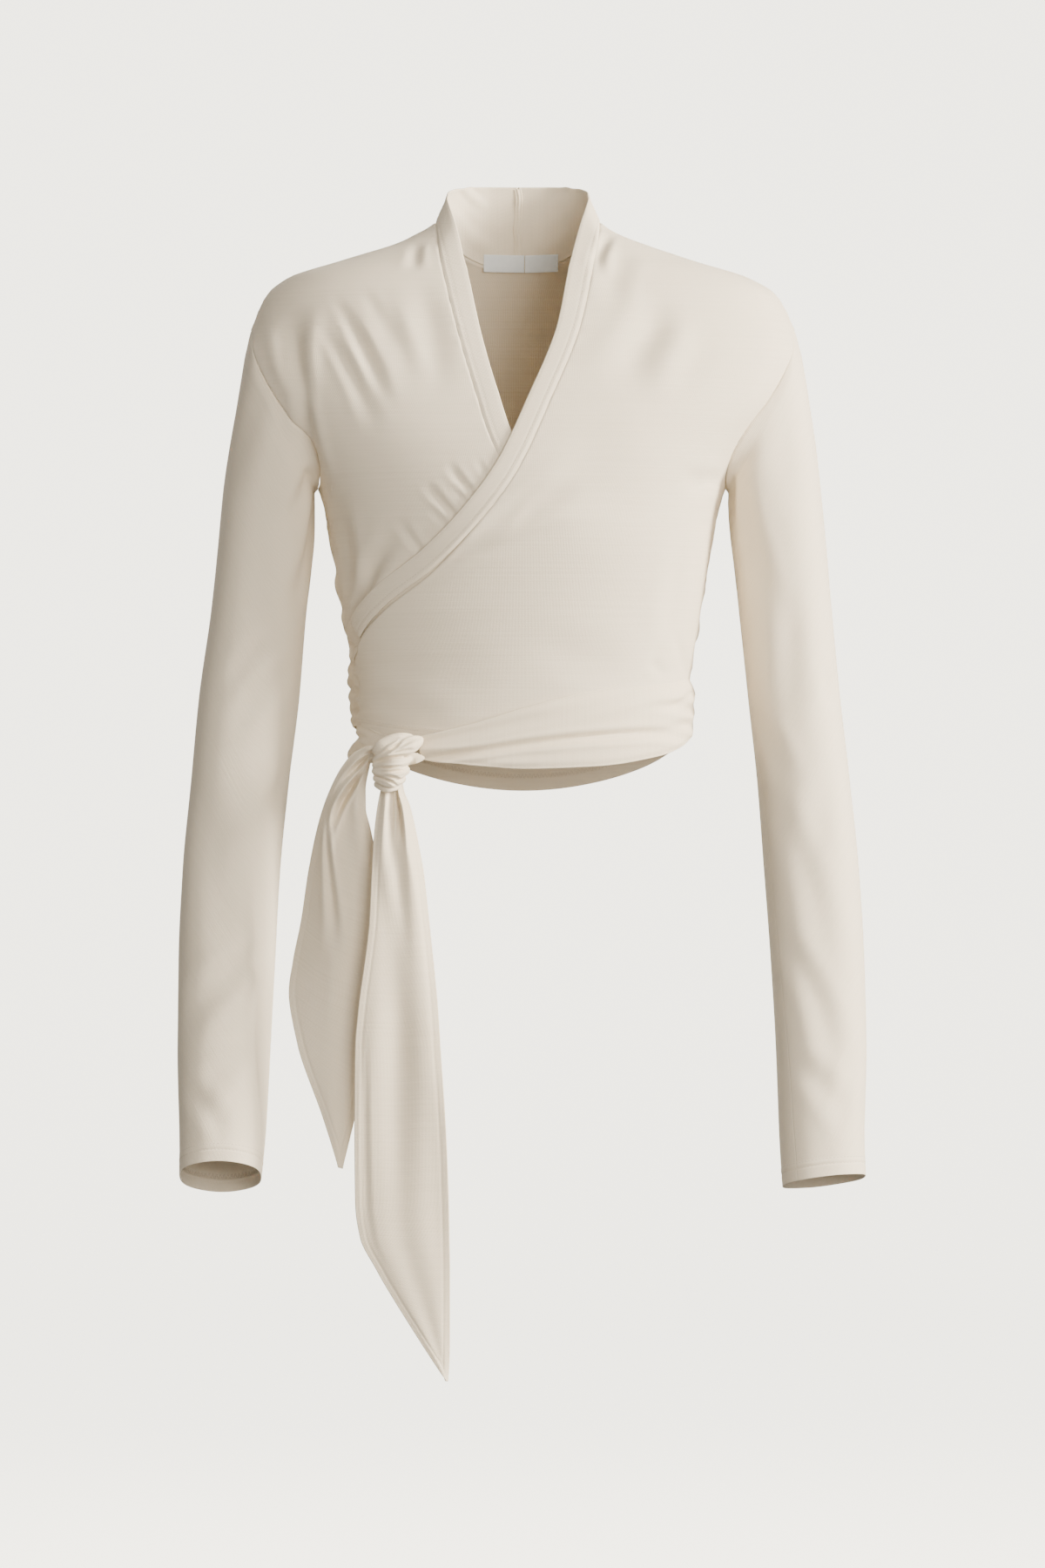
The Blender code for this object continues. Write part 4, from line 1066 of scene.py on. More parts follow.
def wound_tie(rows, crease_rows, ending):
    """A stretch of tie wound round the body, gathered along its length, with its edges tucked in."""
    column = table(WOUND_COLUMNS, rows)
    turns = np.linspace(rows[0][0], rows[-1][0], WOUND_STEPS + 1)[:, None]
    across = dense_ends(SASH_COLUMNS, 0.7, 0.7)
    top, bottom = column["top"](turns), column["bottom"](turns)
    z = top + (bottom - top) * across
    down = (top - bottom) * across
    lift = column["lift"](turns) + column["gather"](turns)
    edge = np.minimum(down, (top - bottom) * (1 - across))
    tuck = SASH_TUCK * bell(edge, TUCK_REACH) * ramp(lift, 3, 1.5)
    lift = lift + creases(turns * WOUND_SCALE, down, crease_rows) * CREASE_DEPTH
    lift += sway(turns * WOUND_SCALE, down * 2, SWAY_HEIGHT / 2) - tuck
    turn = turns + 0 * z
    if ending == "sewn on":
        sewn_edge = 360 + turn_at(SEAM[1](z) + tie_seam_wave(z) + SEAM_LAP, z)
        near = smooth((turns - rows[-1][0] + TIE_START) / TIE_START)
        turn = turn + (sewn_edge - rows[-1][0]) * near
        lift += creases((turn - 360) * SIDE_SCALE, z, SIDE_CREASES) * CREASE_DEPTH * near
        lift -= SEAM_DIP * bell((sewn_edge - turn) * SIDE_SCALE, SEAM_REACH)
        share = bell(down, SETTLE_REACH) * ramp(turns, *OVER_BACK_SETTLES)
        lift = lift * (1 - share) + (relief(turn, z, "back") - SETTLE_DEPTH + LAP * near) * share
    if ending == "leaning in":
        lift = lift * (1 - LEAN_SHARE * bell(down, SETTLE_REACH) * ramp(turns, *UNDER_LEANS))
    if ending == "settled":
        beneath = lap(turn, z) + relief(turn, z, "over")
        share = bell(down, SETTLE_REACH) * ramp(turns, *OVER_FRONT_SETTLES)
        lift = lift * (1 - share) + (beneath - SETTLE_DEPTH) * share
    place, normal = form(turn, z), outward(turn, z)
    points = place + normal * lift[..., None]
    uv = np.stack((down, turns * WOUND_SCALE + 0 * down), -1) * MM
    return points, normal, uv


def tie_end(rows, crease_rows, wave, turned_back):
    """A free end that hangs from the knot, pleated where it leaves it, with its seamed edges rounded."""
    column = by_station(TIE_COLUMN_NAMES, rows)
    station = dense_ends(TIE_ROWS, 0.3, 0.5)[:, None]
    across = dense_ends(TIE_COLUMNS, 0.75, 0.75)
    at = {name: value(station) for name, value in column.items()}
    x = at["outer_x"] + (at["inner_x"] - at["outer_x"]) * across
    z = at["outer_z"] + (at["inner_z"] - at["outer_z"]) * across
    y = at["y"] + at["pleat"] * np.cos(2 * np.pi * TIE_PLEATS * across)
    inside = (at["ridge"] - (across if turned_back == "outer" else 1 - across)) / at["ridge"]
    y = y + at["fall"] * (inside + np.sqrt(inside**2 + TIE_RIDGE)) / 2
    plain = np.stack((x, y, z), -1)
    down = from_edge(plain, 0, 0)
    width = np.linalg.norm(plain[:, -1] - plain[:, 0], axis=-1)[:, None]
    middle = down[:, :1]
    folds = creases(middle + 0 * across, across * TIE_SCALE, crease_rows)
    hang = wave * np.sin(middle / 62 + 2.4 * across) * smooth(middle / 120)
    edge = np.minimum(across, 1 - across) * width
    height = folds * CREASE_DEPTH * smooth(width / 16) + hang
    height = height - TIE_EDGE_DENT * bell(edge - TIE_EDGE, DENT_REACH)
    points = plain + np.array((0, -1, 0)) * height[..., None]
    normal = facing(points, np.array((0, -1.0, 0)))
    uv = np.stack((across * width, down), -1) * MM
    return points, normal, uv


def knot_turn(rows):
    """One turn of cloth in the knot: a flattened tube along its places, creased lengthwise and closed."""
    column = table(KNOT_TURN_COLUMNS, rows)
    station = np.linspace(0, 1, KNOT_RINGS)
    middle = np.stack([column[name](station) for name in ("x", "y", "z")], -1)
    along = np.gradient(middle, axis=0)
    along /= np.linalg.norm(along, axis=-1, keepdims=True)
    out = middle - np.array(KNOT_CENTRE)
    out -= along * row_dot(out, along)[:, None]
    out /= np.linalg.norm(out, axis=-1, keepdims=True)
    up = np.cross(out, along)
    angle = np.linspace(0, 2 * np.pi, KNOT_COLUMNS, endpoint=False)
    station = station[:, None]
    broad = 0.07 * np.cos(5 * angle + 1.5 * np.sin(6 * station))
    fine = 0.04 * np.cos(9 * angle + 4 * station)
    pleats = 1 + broad + fine
    taper = np.sqrt(np.clip(1 - (2 * station - 1) ** 10, 0, 1))
    high = (column["half_height"](station) * np.cos(angle) * pleats * taper)[..., None]
    deep = (column["half_depth"](station) * np.sin(angle) * pleats * taper)[..., None]
    return middle[:, None] + up[:, None] * high + out[:, None] * deep


def tube_faces(rows, columns, start):
    """Faces of a closed tube of rings, with its two ends filled."""
    place = start + np.arange(rows * columns).reshape(rows, columns)
    place = np.concatenate((place, place[:, :1]), 1)
    sides = cells(place).tolist()
    return sides + [place[0, :-1].tolist(), place[-1, :-1][::-1].tolist()]


def knot_mesh():
    """The knot's turns and its core, fused to one skin whose hollows are soft."""
    points, faces = [], []
    tubes = [knot_turn(rows) for rows in KNOT_TURNS.values()]
    tilt = np.linspace(0.05, np.pi - 0.05, 18)[:, None]
    round_about = np.linspace(0, 2 * np.pi, KNOT_COLUMNS, endpoint=False)
    x, y = np.sin(tilt) * np.cos(round_about), np.sin(tilt) * np.sin(round_about)
    core = np.stack((x, y, np.cos(tilt) + 0 * round_about), -1)
    tubes.append(np.array(KNOT_CENTRE) + core * KNOT_CORE)
    for tube in tubes:
        faces += tube_faces(*tube.shape[:2], len(points))
        points += tube.reshape(-1, 3).tolist()
    mesh = bpy.data.meshes.new("knot_turns")
    mesh.from_pydata((np.array(points) * MM).tolist(), [], faces)
    mesh.validate()
    turns = bpy.data.objects.new("knot_turns", mesh)
    bpy.context.scene.collection.objects.link(turns)
    faces_out(mesh)
    remesh = turns.modifiers.new("skin", "REMESH")
    remesh.mode, remesh.voxel_size = "VOXEL", KNOT_VOXEL
    soften = turns.modifiers.new("soften", "SMOOTH")
    soften.factor, soften.iterations = 0.5, 2
    knot = plain_copy(turns, "knot_cloth")
    places = np.zeros(len(knot.data.vertices) * 3)
    knot.data.vertices.foreach_get("co", places)
    x, y, z = (places / MM).reshape(-1, 3).T
    y = y - creases(x, z, KNOT_CREASES) * smooth((KNOT_CENTRE[1] - y) / KNOT_FRONT)
    knot.data.vertices.foreach_set("co", (np.stack((x, y, z), -1) * MM).ravel())
    return knot


def faces_out(mesh):
    """Turns every face of a mesh to look outwards."""
    work = bmesh.new()
    work.from_mesh(mesh)
    bmesh.ops.recalc_face_normals(work, faces=work.faces)
    work.to_mesh(mesh)
    work.free()


def plain_copy(source, name):
    """A plain mesh of an object with its modifiers applied; the source is removed."""
    graph = bpy.context.evaluated_depsgraph_get()
    mesh = bpy.data.meshes.new_from_object(source.evaluated_get(graph))
    mesh.name = name
    piece = bpy.data.objects.new(name, mesh)
    bpy.context.scene.collection.objects.link(piece)
    bpy.data.objects.remove(source, do_unlink=True)
    return piece


def cells(grid):
    """Corners of each cell of a grid, in turn round it."""
    return np.stack((grid[:-1, :-1], grid[:-1, 1:], grid[1:, 1:], grid[1:, :-1]), -1).reshape(-1, 4)


def round_rim(outer, inner, axis, end):
    """Both grids with two more lines past an edge, which draw in towards each other like a fold."""
    at, beside = edge_and_next(axis, end)
    middle, half = (outer[at] + inner[at]) / 2, (outer[at] - inner[at]) / 2
    run = middle - (outer[beside] + inner[beside]) / 2
    run /= np.maximum(np.linalg.norm(run, axis=-1, keepdims=True), 1e-9)
    radius = np.linalg.norm(half, axis=-1, keepdims=True)
    lines = [
        [middle + sign * half * math.cos(angle) + run * radius * math.sin(angle) for angle in RIM_ANGLES]
        for sign in (1, -1)
    ]
    grids = []
    for grid, more in zip((outer, inner), lines):
        extra = np.stack(more if end else more[::-1], axis)
        grids.append(np.concatenate((grid, extra) if end else (extra, grid), axis))
    return grids


def shell(name, grid, thickness, rims, closed=False, line=None):
    """Closed cloth shell under an outer grid, with rounded rims on the edges named as (axis, end)."""
    outer, towards, uv = grid
    normal = facing(outer, towards, closed)
    inner = outer - normal * thickness
    line = np.full(outer.shape[:2], FAR_FROM_LINE) if line is None else line
    for axis, end in rims:
        outer, inner = round_rim(outer, inner, axis, end)
        pad = [(0, 0), (0, 0)]
        pad[axis] = (0, 2) if end else (2, 0)
        uv = np.pad(uv, [*pad, (0, 0)], mode="edge")
        line = np.pad(line, pad, mode="edge")
    rows, columns = outer.shape[:2]
    under = rows * columns
    place = np.arange(under).reshape(rows, columns)
    if closed:
        place = np.concatenate((place, place[:, :1]), 1)
    corner = np.arange(rows * place.shape[1]).reshape(place.shape)

    def strip(edge, drop):
        return np.stack((edge[1:], edge[:-1], edge[:-1] + drop, edge[1:] + drop), -1)

    faces = [cells(place), cells(place + under)[:, ::-1]]
    corners = [cells(corner), cells(corner)[:, ::-1]]
    ends = [(0, slice(None), 1), (-1, slice(None), -1)]
    if not closed:
        ends += [(slice(None), 0, -1), (slice(None), -1, 1)]
    for row, column, turn in ends:
        faces.append(strip(place[row, column][::turn], under))
        corners.append(strip(corner[row, column][::turn], 0))
    faces, corners = np.concatenate(faces), np.concatenate(corners)
    points = np.concatenate((outer.reshape(-1, 3), inner.reshape(-1, 3)))
    quads = points[faces]
    cross = np.cross(quads[:, 2] - quads[:, 0], quads[:, 3] - quads[:, 1])
    if np.einsum("ij,ij->", quads.mean(1), cross) < 0:
        faces, corners = faces[:, ::-1], corners[:, ::-1]
    mesh = bpy.data.meshes.new(name)
    mesh.from_pydata((points * MM).tolist(), [], faces.tolist())
    layer = mesh.uv_layers.new(name=CLOTH_UV)
    layer.data.foreach_set("uv", uv.reshape(-1, 2)[corners.ravel()].ravel())
    distance = mesh.attributes.new(LINE_ATTRIBUTE, "FLOAT", "POINT")
    distance.data.foreach_set("value", np.concatenate((line.ravel(), line.ravel())))
    mesh.shade_smooth()
    piece = bpy.data.objects.new(name, mesh)
    bpy.context.scene.collection.objects.link(piece)
    return piece


def inset_line(points, normal, axis, end, distance):
    """Places and normals at a distance in from one edge of a grid, measured over the cloth."""
    run = from_edge(points, axis, end)
    if axis == 0:
        run, points, normal = run.T, points.swapaxes(0, 1), normal.swapaxes(0, 1)
    if end:
        run, points, normal = run[:, ::-1], points[:, ::-1], normal[:, ::-1]
    places, ups = [], []
    for reach, line, up in zip(run, points, normal):
        if reach[-1] < distance:
            continue
        places.append([np.interp(distance, reach, line[:, k]) for k in range(3)])
        ups.append([np.interp(distance, reach, up[:, k]) for k in range(3)])
    return np.array(places), np.array(ups)


def plug(tree, node, sockets):
    """Gives a node's sockets their values, or links them to wires."""
    for key, value in sockets.items():
        if isinstance(value, Wire):
            tree.links.new(value.socket, node.inputs[key])
        else:
            node.inputs[key].default_value = value


class Wire:
    """A socket of a node tree. Sums and products of wires add Math nodes; node() makes any other node."""

    def __init__(self, tree, socket=None):
        self.tree, self.socket = tree, socket

    def node(self, kind, settings=None, sockets=None, output=0):
        """A new node's output: its settings are set first, then its sockets get values or links."""
        made = self.tree.nodes.new(kind)
        for name, value in (settings or {}).items():
            setattr(made, name, value)
        plug(self.tree, made, sockets or {})
        return Wire(self.tree, made.outputs[output])

    def math(self, operation, *values):
        """The result of a Math node."""
        return self.node("ShaderNodeMath", {"operation": operation}, dict(enumerate(values)))

    def __add__(self, other):
        return self.math("ADD", self, other)

    def __sub__(self, other):
        return self.math("SUBTRACT", self, other)

    def __rsub__(self, other):
        return self.math("SUBTRACT", other, self)

    def __mul__(self, other):
        return self.math("MULTIPLY", self, other)

    def __truediv__(self, other):
        return self.math("DIVIDE", self, other)

    __radd__, __rmul__ = __add__, __mul__

    def sine(self):
        return self.math("SINE", self)

    def bell(self, reach):
        """1 where the value is 0, falling to nothing a few reaches away."""
        share = self / reach
        return self.math("EXPONENT", share * share * -1)

    def tint(self, dark, light):
        """A colour between two, by this share."""
        colours = {"Factor": self, MIX_FROM: (*dark, 1), MIX_TO: (*light, 1)}
        return self.node("ShaderNodeMix", {"data_type": "RGBA"}, colours, output=MIX_RESULT)

    def noise(self, scale, detail):
        """Noise over the places that this wire carries."""
        return self.node("ShaderNodeTexNoise", sockets={"Vector": self, "Scale": scale, "Detail": detail})


def new_material(name):
    """A new material with its node tree and main shader."""
    material = bpy.data.materials.new(name)
    material.use_nodes = True
    return material, material.node_tree, material.node_tree.nodes["Principled BSDF"]


def cloth_material(name, colour, slub):
    """Fine knit: loops, slubs along the courses, slow variation in colour, and painted shade along the
    dented seam lines.
    """
    settings = bpy.context.scene.wrap_top
    material, tree, shader = new_material(name)
    start = Wire(tree)
    uv = start.node("ShaderNodeUVMap", {"uv_map": CLOTH_UV})
    place = start.node("ShaderNodeTexCoord", output="Object")
    across = uv.node("ShaderNodeSeparateXYZ", sockets={0: uv})
    along = Wire(tree, across.socket.node.outputs[1])
    turns = 2 * math.pi / settings.wale_pitch
    loops = (across * turns).sine() * 0.5 + (along * (turns / COURSE_SHARE)).sine() * 0.3
    slubs = uv.node("ShaderNodeMapping", sockets={"Vector": uv, "Scale": SLUB_SCALE}).noise(1.0, 3.0)
    cloud = place.noise(CLOUD_SCALE, 2.0)
    fuzz = place.noise(FUZZ_SCALE, 2.0)
    line = start.node("ShaderNodeAttribute", {"attribute_name": LINE_ATTRIBUTE}, output="Fac")
    # Painted shade: the colour darkens along the seam lines, in their groove, which the bump also dents
    seam = line.bell(SEAM_LINE_REACH)
    shade = (slubs - 0.5) * slub + (cloud - 0.5) * CLOUD_SHADE + (fuzz - 0.5) * FUZZ_SHADE
    shade = shade + loops * LOOP_SHADE - seam * SEAM_PAINTED_SHADE
    amount = start.node("ShaderNodeClamp", sockets={"Value": 0.5 + shade})
    light = tuple(min(1.0, value * LIGHT_SHARE) for value in colour)
    dark = tuple(value * share for value, share in zip(colour, DARK_SHARES))
    height = loops * LOOP_BUMP + slubs * SLUB_BUMP + fuzz * FUZZ_BUMP - seam * SEAM_BUMP
    bump = {"Strength": 0.55, "Distance": settings.knit_depth, "Height": height}
    plug(tree, shader, {
        "Base Color": amount.tint(dark, light),
        "Roughness": 0.86 + (fuzz - 0.5) * 0.12,
        "Normal": start.node("ShaderNodeBump", sockets=bump),
        "Subsurface Weight": settings.translucence,
        "Subsurface Radius": (1.0, 0.85, 0.65),
        "Subsurface Scale": 0.001,
        "Sheen Weight": settings.sheen,
        "Sheen Roughness": 0.45,
        "Sheen Tint": (1.0, 0.97, 0.92, 1),
        "Specular IOR Level": 0.25,
    })
    return material


def thread_material(name):
    """Sewing thread, a little uneven in colour, and darker than the cloth: its own colour with painted shade
    of the stitches.
    """
    material, tree, shader = new_material(name)
    light = tuple(bpy.context.scene.wrap_top.thread_colour_with_shade)
    dark = tuple(value * THREAD_DARK_SHARE for value in light)
    twist = Wire(tree).node("ShaderNodeTexCoord", output="Object").noise(900.0, 1.0)
    plug(tree, shader, {"Base Color": twist.tint(dark, light), "Roughness": 0.6})
    return material


def label_material(name):
    """Woven satin label: fine ribs across and no lettering."""
    material, tree, shader = new_material(name)
    light = tuple(bpy.context.scene.wrap_top.label_colour)
    dark = tuple(value * LABEL_DARK_SHARE for value in light)
    uv = Wire(tree).node("ShaderNodeUVMap", {"uv_map": CLOTH_UV})
    across = uv.node("ShaderNodeSeparateXYZ", sockets={0: uv})
    ribs = (across * (2 * math.pi / RIB_PITCH)).sine() * 0.5 + 0.5
    wear = uv.noise(260.0, 3.0)
    bump = {"Strength": 0.4, "Distance": 0.0001, "Height": ribs + wear}
    plug(tree, shader, {
        "Base Color": (ribs * 0.3 + wear * 0.7).tint(dark, light),
        "Roughness": 0.5,
        "Normal": uv.node("ShaderNodeBump", sockets=bump),
    })
    return material


def shared(name, make, *details):
    """The material of this name, made the first time it is asked for."""
    return bpy.data.materials.get(name) or make(name, *details)


def jersey():
    """Finish of the body, sleeves and band."""
    return shared("cream jersey", cloth_material, bpy.context.scene.wrap_top.cloth_colour, JERSEY_SLUB)


def tie_cloth():
    """Finish of the ties and their knot."""
    return shared("tie jersey", cloth_material, bpy.context.scene.wrap_top.tie_colour, TIE_SLUB)


def dress(piece, material, node):
    """Gives a piece its finish and its place in the frame's table."""
    piece.data.materials.clear()
    piece.data.materials.append(material)
    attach(piece, BODY_NAME)
    if node:
        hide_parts(node)


def stitch_tree():
    """Geometry nodes: a stitch at every pitch along each path, lying along it and standing on the cloth."""
    tree = bpy.data.node_groups.new("Topstitch", "GeometryNodeTree")
    sockets = tree.interface
    sockets.new_socket("Geometry", in_out="INPUT", socket_type="NodeSocketGeometry")
    for name, default in (("Pitch", 0.0028), ("Length", 0.002), ("Thread", 0.0004)):
        socket = sockets.new_socket(name, in_out="INPUT", socket_type="NodeSocketFloat")
        socket.default_value = default
    sockets.new_socket("Material", in_out="INPUT", socket_type="NodeSocketMaterial")
    sockets.new_socket("Geometry", in_out="OUTPUT", socket_type="NodeSocketGeometry")
    start = Wire(tree)
    given = start.node("NodeGroupInput")
    pitch, length, thread, material = (Wire(tree, given.socket.node.outputs[k]) for k in range(1, 5))
    curve_line = start.node("GeometryNodeMeshToCurve", sockets={"Mesh": given})
    even = {"Curve": curve_line, "Length": pitch}
    points = start.node("GeometryNodeResampleCurve", {"mode": "LENGTH"}, even)
    stitch = start.node("GeometryNodeMeshIcoSphere", sockets={"Radius": 0.5, "Subdivisions": 1})
    size = start.node("ShaderNodeCombineXYZ", sockets={0: length, 1: thread, 2: thread})
    shaped = start.node("GeometryNodeTransform", sockets={"Geometry": stitch, "Scale": size})
    smooth_stitch = start.node("GeometryNodeSetShadeSmooth", sockets={"Geometry": shaped})
    tangent = start.node("GeometryNodeInputTangent")
    kind = {"data_type": "FLOAT_VECTOR"}
    up = start.node("GeometryNodeInputNamedAttribute", kind, {"Name": UP_ATTRIBUTE})
    turned = start.node(
        "FunctionNodeAxesToRotation",
        {"primary_axis": "X", "secondary_axis": "Z"},
        {"Primary Axis": tangent, "Secondary Axis": up},
    )
    placed = start.node(
        "GeometryNodeInstanceOnPoints",
        sockets={"Points": points, "Instance": smooth_stitch, "Rotation": turned},
    )
    real = start.node("GeometryNodeRealizeInstances", sockets={"Geometry": placed})
    finished = start.node("GeometryNodeSetMaterial", sockets={"Geometry": real, "Material": material})
    tree.links.new(finished.socket, tree.nodes.new("NodeGroupOutput").inputs[0])
    return tree


def stitches(name, paths, pitch, length, material):
    """Joined mesh of stitches along paths, each a pair of places and normals in millimetres."""
    settings = bpy.context.scene.wrap_top
    points, edges, ups = [], [], []
    for places, normals in paths:
        start = len(points)
        points += (places * MM).tolist()
        ups += normals.tolist()
        edges += [(start + k, start + k + 1) for k in range(len(places) - 1)]
    mesh = bpy.data.meshes.new(name)
    mesh.from_pydata(points, edges, [])
    up = mesh.attributes.new(UP_ATTRIBUTE, "FLOAT_VECTOR", "POINT")
    up.data.foreach_set("vector", np.array(ups).ravel())
    path = bpy.data.objects.new(name + "_path", mesh)
    bpy.context.scene.collection.objects.link(path)
    tree = bpy.data.node_groups.get("Topstitch") or stitch_tree()
    modifier = path.modifiers.new("stitches", "NODES")
    modifier.node_group = tree
    values = {"Pitch": pitch, "Length": length, "Thread": settings.thread_width, "Material": material}
    for item in tree.interface.items_tree:
        if item.name in values:
            modifier[item.identifier] = values[item.name]
    return plain_copy(path, name)


def label_grid(from_x, to_x, tilt_share):
    """A small woven tab that lies just clear of the inside of the back neck, a little bowed."""
    x = np.linspace(from_x, to_x, 30)
    share = np.linspace(0, 1, 14)
    z = LABEL_TOP + (LABEL_BOTTOM - LABEL_TOP) * share
    depth = form(180 - turn_at(x, LABEL_BOTTOM), LABEL_BOTTOM)[:, 1] - LABEL_STANDOFF - WALL
    depth -= LABEL_CURL * (x - NECK_CENTRE) ** 2
    lean = LABEL_LEAN[0] + (LABEL_LEAN[1] - LABEL_LEAN[0]) * share
    y = depth[None] - lean[:, None] + LABEL_WAVE * np.sin(x / 5.5)[None] * share[:, None]
    tilt = LABEL_TILT * (x - x.mean())
    points = np.stack((x + 0 * y, y, z[:, None] + tilt[None] * tilt_share), -1)
    towards = np.zeros_like(points)
    towards[..., 1] = -1
    uv = np.stack((points[..., 0], points[..., 2]), -1) * MM
    return points, towards, uv


def thickness(kind):
    """Thickness of a kind of cloth in millimetres."""
    return getattr(bpy.context.scene.wrap_top, kind + "_thickness") / MM


def underarm_line(side, grid):
    """Distance of each place on a sleeve from its underarm seam, which drifts forwards towards the cuff."""
    points = grid[0]
    angle = np.arange(points.shape[1]) * 360 / points.shape[1]
    share = from_edge(points, 0, 0) / SLEEVE_LENGTH
    seam = curve(UNDERARM_SHARES, UNDERARM_ANGLES[side])(share)
    return ((angle - seam + 180) % 360 - 180) * SLEEVE_SCALE


def collar_line(grid):
    """Distance from the seam at the centre back, on the collar's stand only."""
    along = from_edge(grid[0], 0, 0)
    return np.where(along < COLLAR_LENGTH, along, FAR_FROM_LINE)


def looped_back(places, ups):
    """The zigzag of loops on the inside of a twin row."""
    run = np.concatenate(([0], np.cumsum(np.linalg.norm(np.diff(places, axis=0), axis=1))))
    along = np.gradient(places, axis=0)
    along /= np.linalg.norm(along, axis=1, keepdims=True)
    across = np.cross(ups, along)
    spots = np.arange(0, run[-1], LOOP_STEP)
    even = [np.interp(spots, run, places[:, k]) for k in range(3)]
    beside = [np.interp(spots, run, across[:, k]) for k in range(3)]
    lifted = [np.interp(spots, run, ups[:, k]) for k in range(3)]
    width = (HEM_STITCH_ROWS[1] - HEM_STITCH_ROWS[0]) / 2 * np.where(np.arange(len(spots)) % 2, 1, -1)
    return np.stack(even, -1) + np.stack(beside, -1) * width[:, None], np.stack(lifted, -1)


def make_backdrop(settings):
    """Pale round floor that curves up into a wall all round the studio."""
    bend = np.linspace(0, math.pi / 2, 16)
    flat = STUDIO_RADIUS - STUDIO_BEND
    reach = np.concatenate(([0.01], flat + STUDIO_BEND * np.sin(bend), [STUDIO_RADIUS]))
    rise = np.concatenate(([0], STUDIO_BEND - STUDIO_BEND * np.cos(bend), [STUDIO_HEIGHT]))
    angle = np.linspace(0, 2 * np.pi, 96, endpoint=False)[:, None]
    height = rise + settings.floor_height + 0 * angle
    points = np.stack((reach * np.cos(angle), reach * np.sin(angle), height), -1)
    place = np.arange(points.shape[0] * points.shape[1]).reshape(points.shape[:2])
    mesh = bpy.data.meshes.new("backdrop")
    faces = cells(np.concatenate((place, place[:1]))).tolist()
    mesh.from_pydata(points.reshape(-1, 3).tolist(), [], [*faces, place[:, 0].tolist()])
    mesh.shade_smooth()
    material, tree, shader = new_material("pale paper")
    plug(tree, shader, {
        "Base Color": (*BACKDROP_COLOUR, 1),
        "Roughness": 0.95,
        "Specular IOR Level": 0.0,
        "Emission Color": (*BACKDROP_COLOUR, 1),
        "Emission Strength": BACKDROP_GLOW,
    })
    mesh.materials.append(material)
    backdrop = bpy.data.objects.new("backdrop", mesh)
    backdrop.visible_diffuse = backdrop.visible_glossy = backdrop.visible_shadow = False
    bpy.context.scene.collection.objects.link(backdrop)


class ClothSettings(bpy.types.PropertyGroup):
    """Sizes and colours of the garment that a user would change."""

    cloth_colour: bpy.props.FloatVectorProperty(
        name="Cloth colour",
        description="Colour of the jersey",
        subtype="COLOR",
        size=3,
        min=0,
        max=1,
        default=(0.80, 0.723, 0.59),
    )
    tie_colour: bpy.props.FloatVectorProperty(
        name="Tie colour",
        description="Colour of the ties and their knot",
        subtype="COLOR",
        size=3,
        min=0,
        max=1,
        default=(0.78, 0.70, 0.56),
    )
    # Darker than the cloth: the thread's own colour with painted shade of the stitches
    thread_colour_with_shade: bpy.props.FloatVectorProperty(
        name="Thread colour",
        description="Colour of the topstitching",
        subtype="COLOR",
        size=3,
        min=0,
        max=1,
        default=(0.66, 0.58, 0.47),
    )
    label_colour: bpy.props.FloatVectorProperty(
        name="Label colour",
        description="Colour of the blank woven labels",
        subtype="COLOR",
        size=3,
        min=0,
        max=1,
        default=(0.86, 0.92, 0.97),
    )
    cloth_thickness: bpy.props.FloatProperty(
        name="Cloth thickness",
        description="Thickness of one layer of jersey",
        unit="LENGTH",
        default=0.0009,
        min=0.0004,
        max=0.0015,
    )
    band_thickness: bpy.props.FloatProperty(
        name="Band thickness",
        description="Thickness of the doubled neckband",
        unit="LENGTH",
        default=0.0016,
        min=0.0008,
        max=0.0022,
    )
    tie_thickness: bpy.props.FloatProperty(
        name="Tie thickness",
        description="Thickness of the ties, which are two layers",
        unit="LENGTH",
        default=0.0013,
        min=0.0006,
        max=0.002,
    )
    wale_pitch: bpy.props.FloatProperty(
        name="Wale pitch",
        description="Width of one column of knitted loops",
        unit="LENGTH",
        default=0.0009,
        min=0.0003,
        max=0.003,
    )
    knit_depth: bpy.props.FloatProperty(
        name="Knit depth",
        description="Height of the knit's bump",
        unit="LENGTH",
        default=0.0003,
        min=0,
        max=0.002,
    )
    sheen: bpy.props.FloatProperty(
        name="Sheen",
        description="Soft light along the cloth's nap",
        subtype="FACTOR",
        default=0.12,
        min=0,
        max=1,
    )
    translucence: bpy.props.FloatProperty(
        name="Translucence",
        description="Share of light that passes into the cloth",
        subtype="FACTOR",
        default=0.14,
        min=0,
        max=1,
    )
    stitch_pitch: bpy.props.FloatProperty(
        name="Stitch pitch",
        description="Distance from one stitch to the next",
        unit="LENGTH",
        default=0.0028,
        min=0.001,
        max=0.006,
    )
    thread_width: bpy.props.FloatProperty(
        name="Thread width",
        description="Width of the sewing thread",
        unit="LENGTH",
        default=0.00045,
        min=0.0002,
        max=0.001,
    )


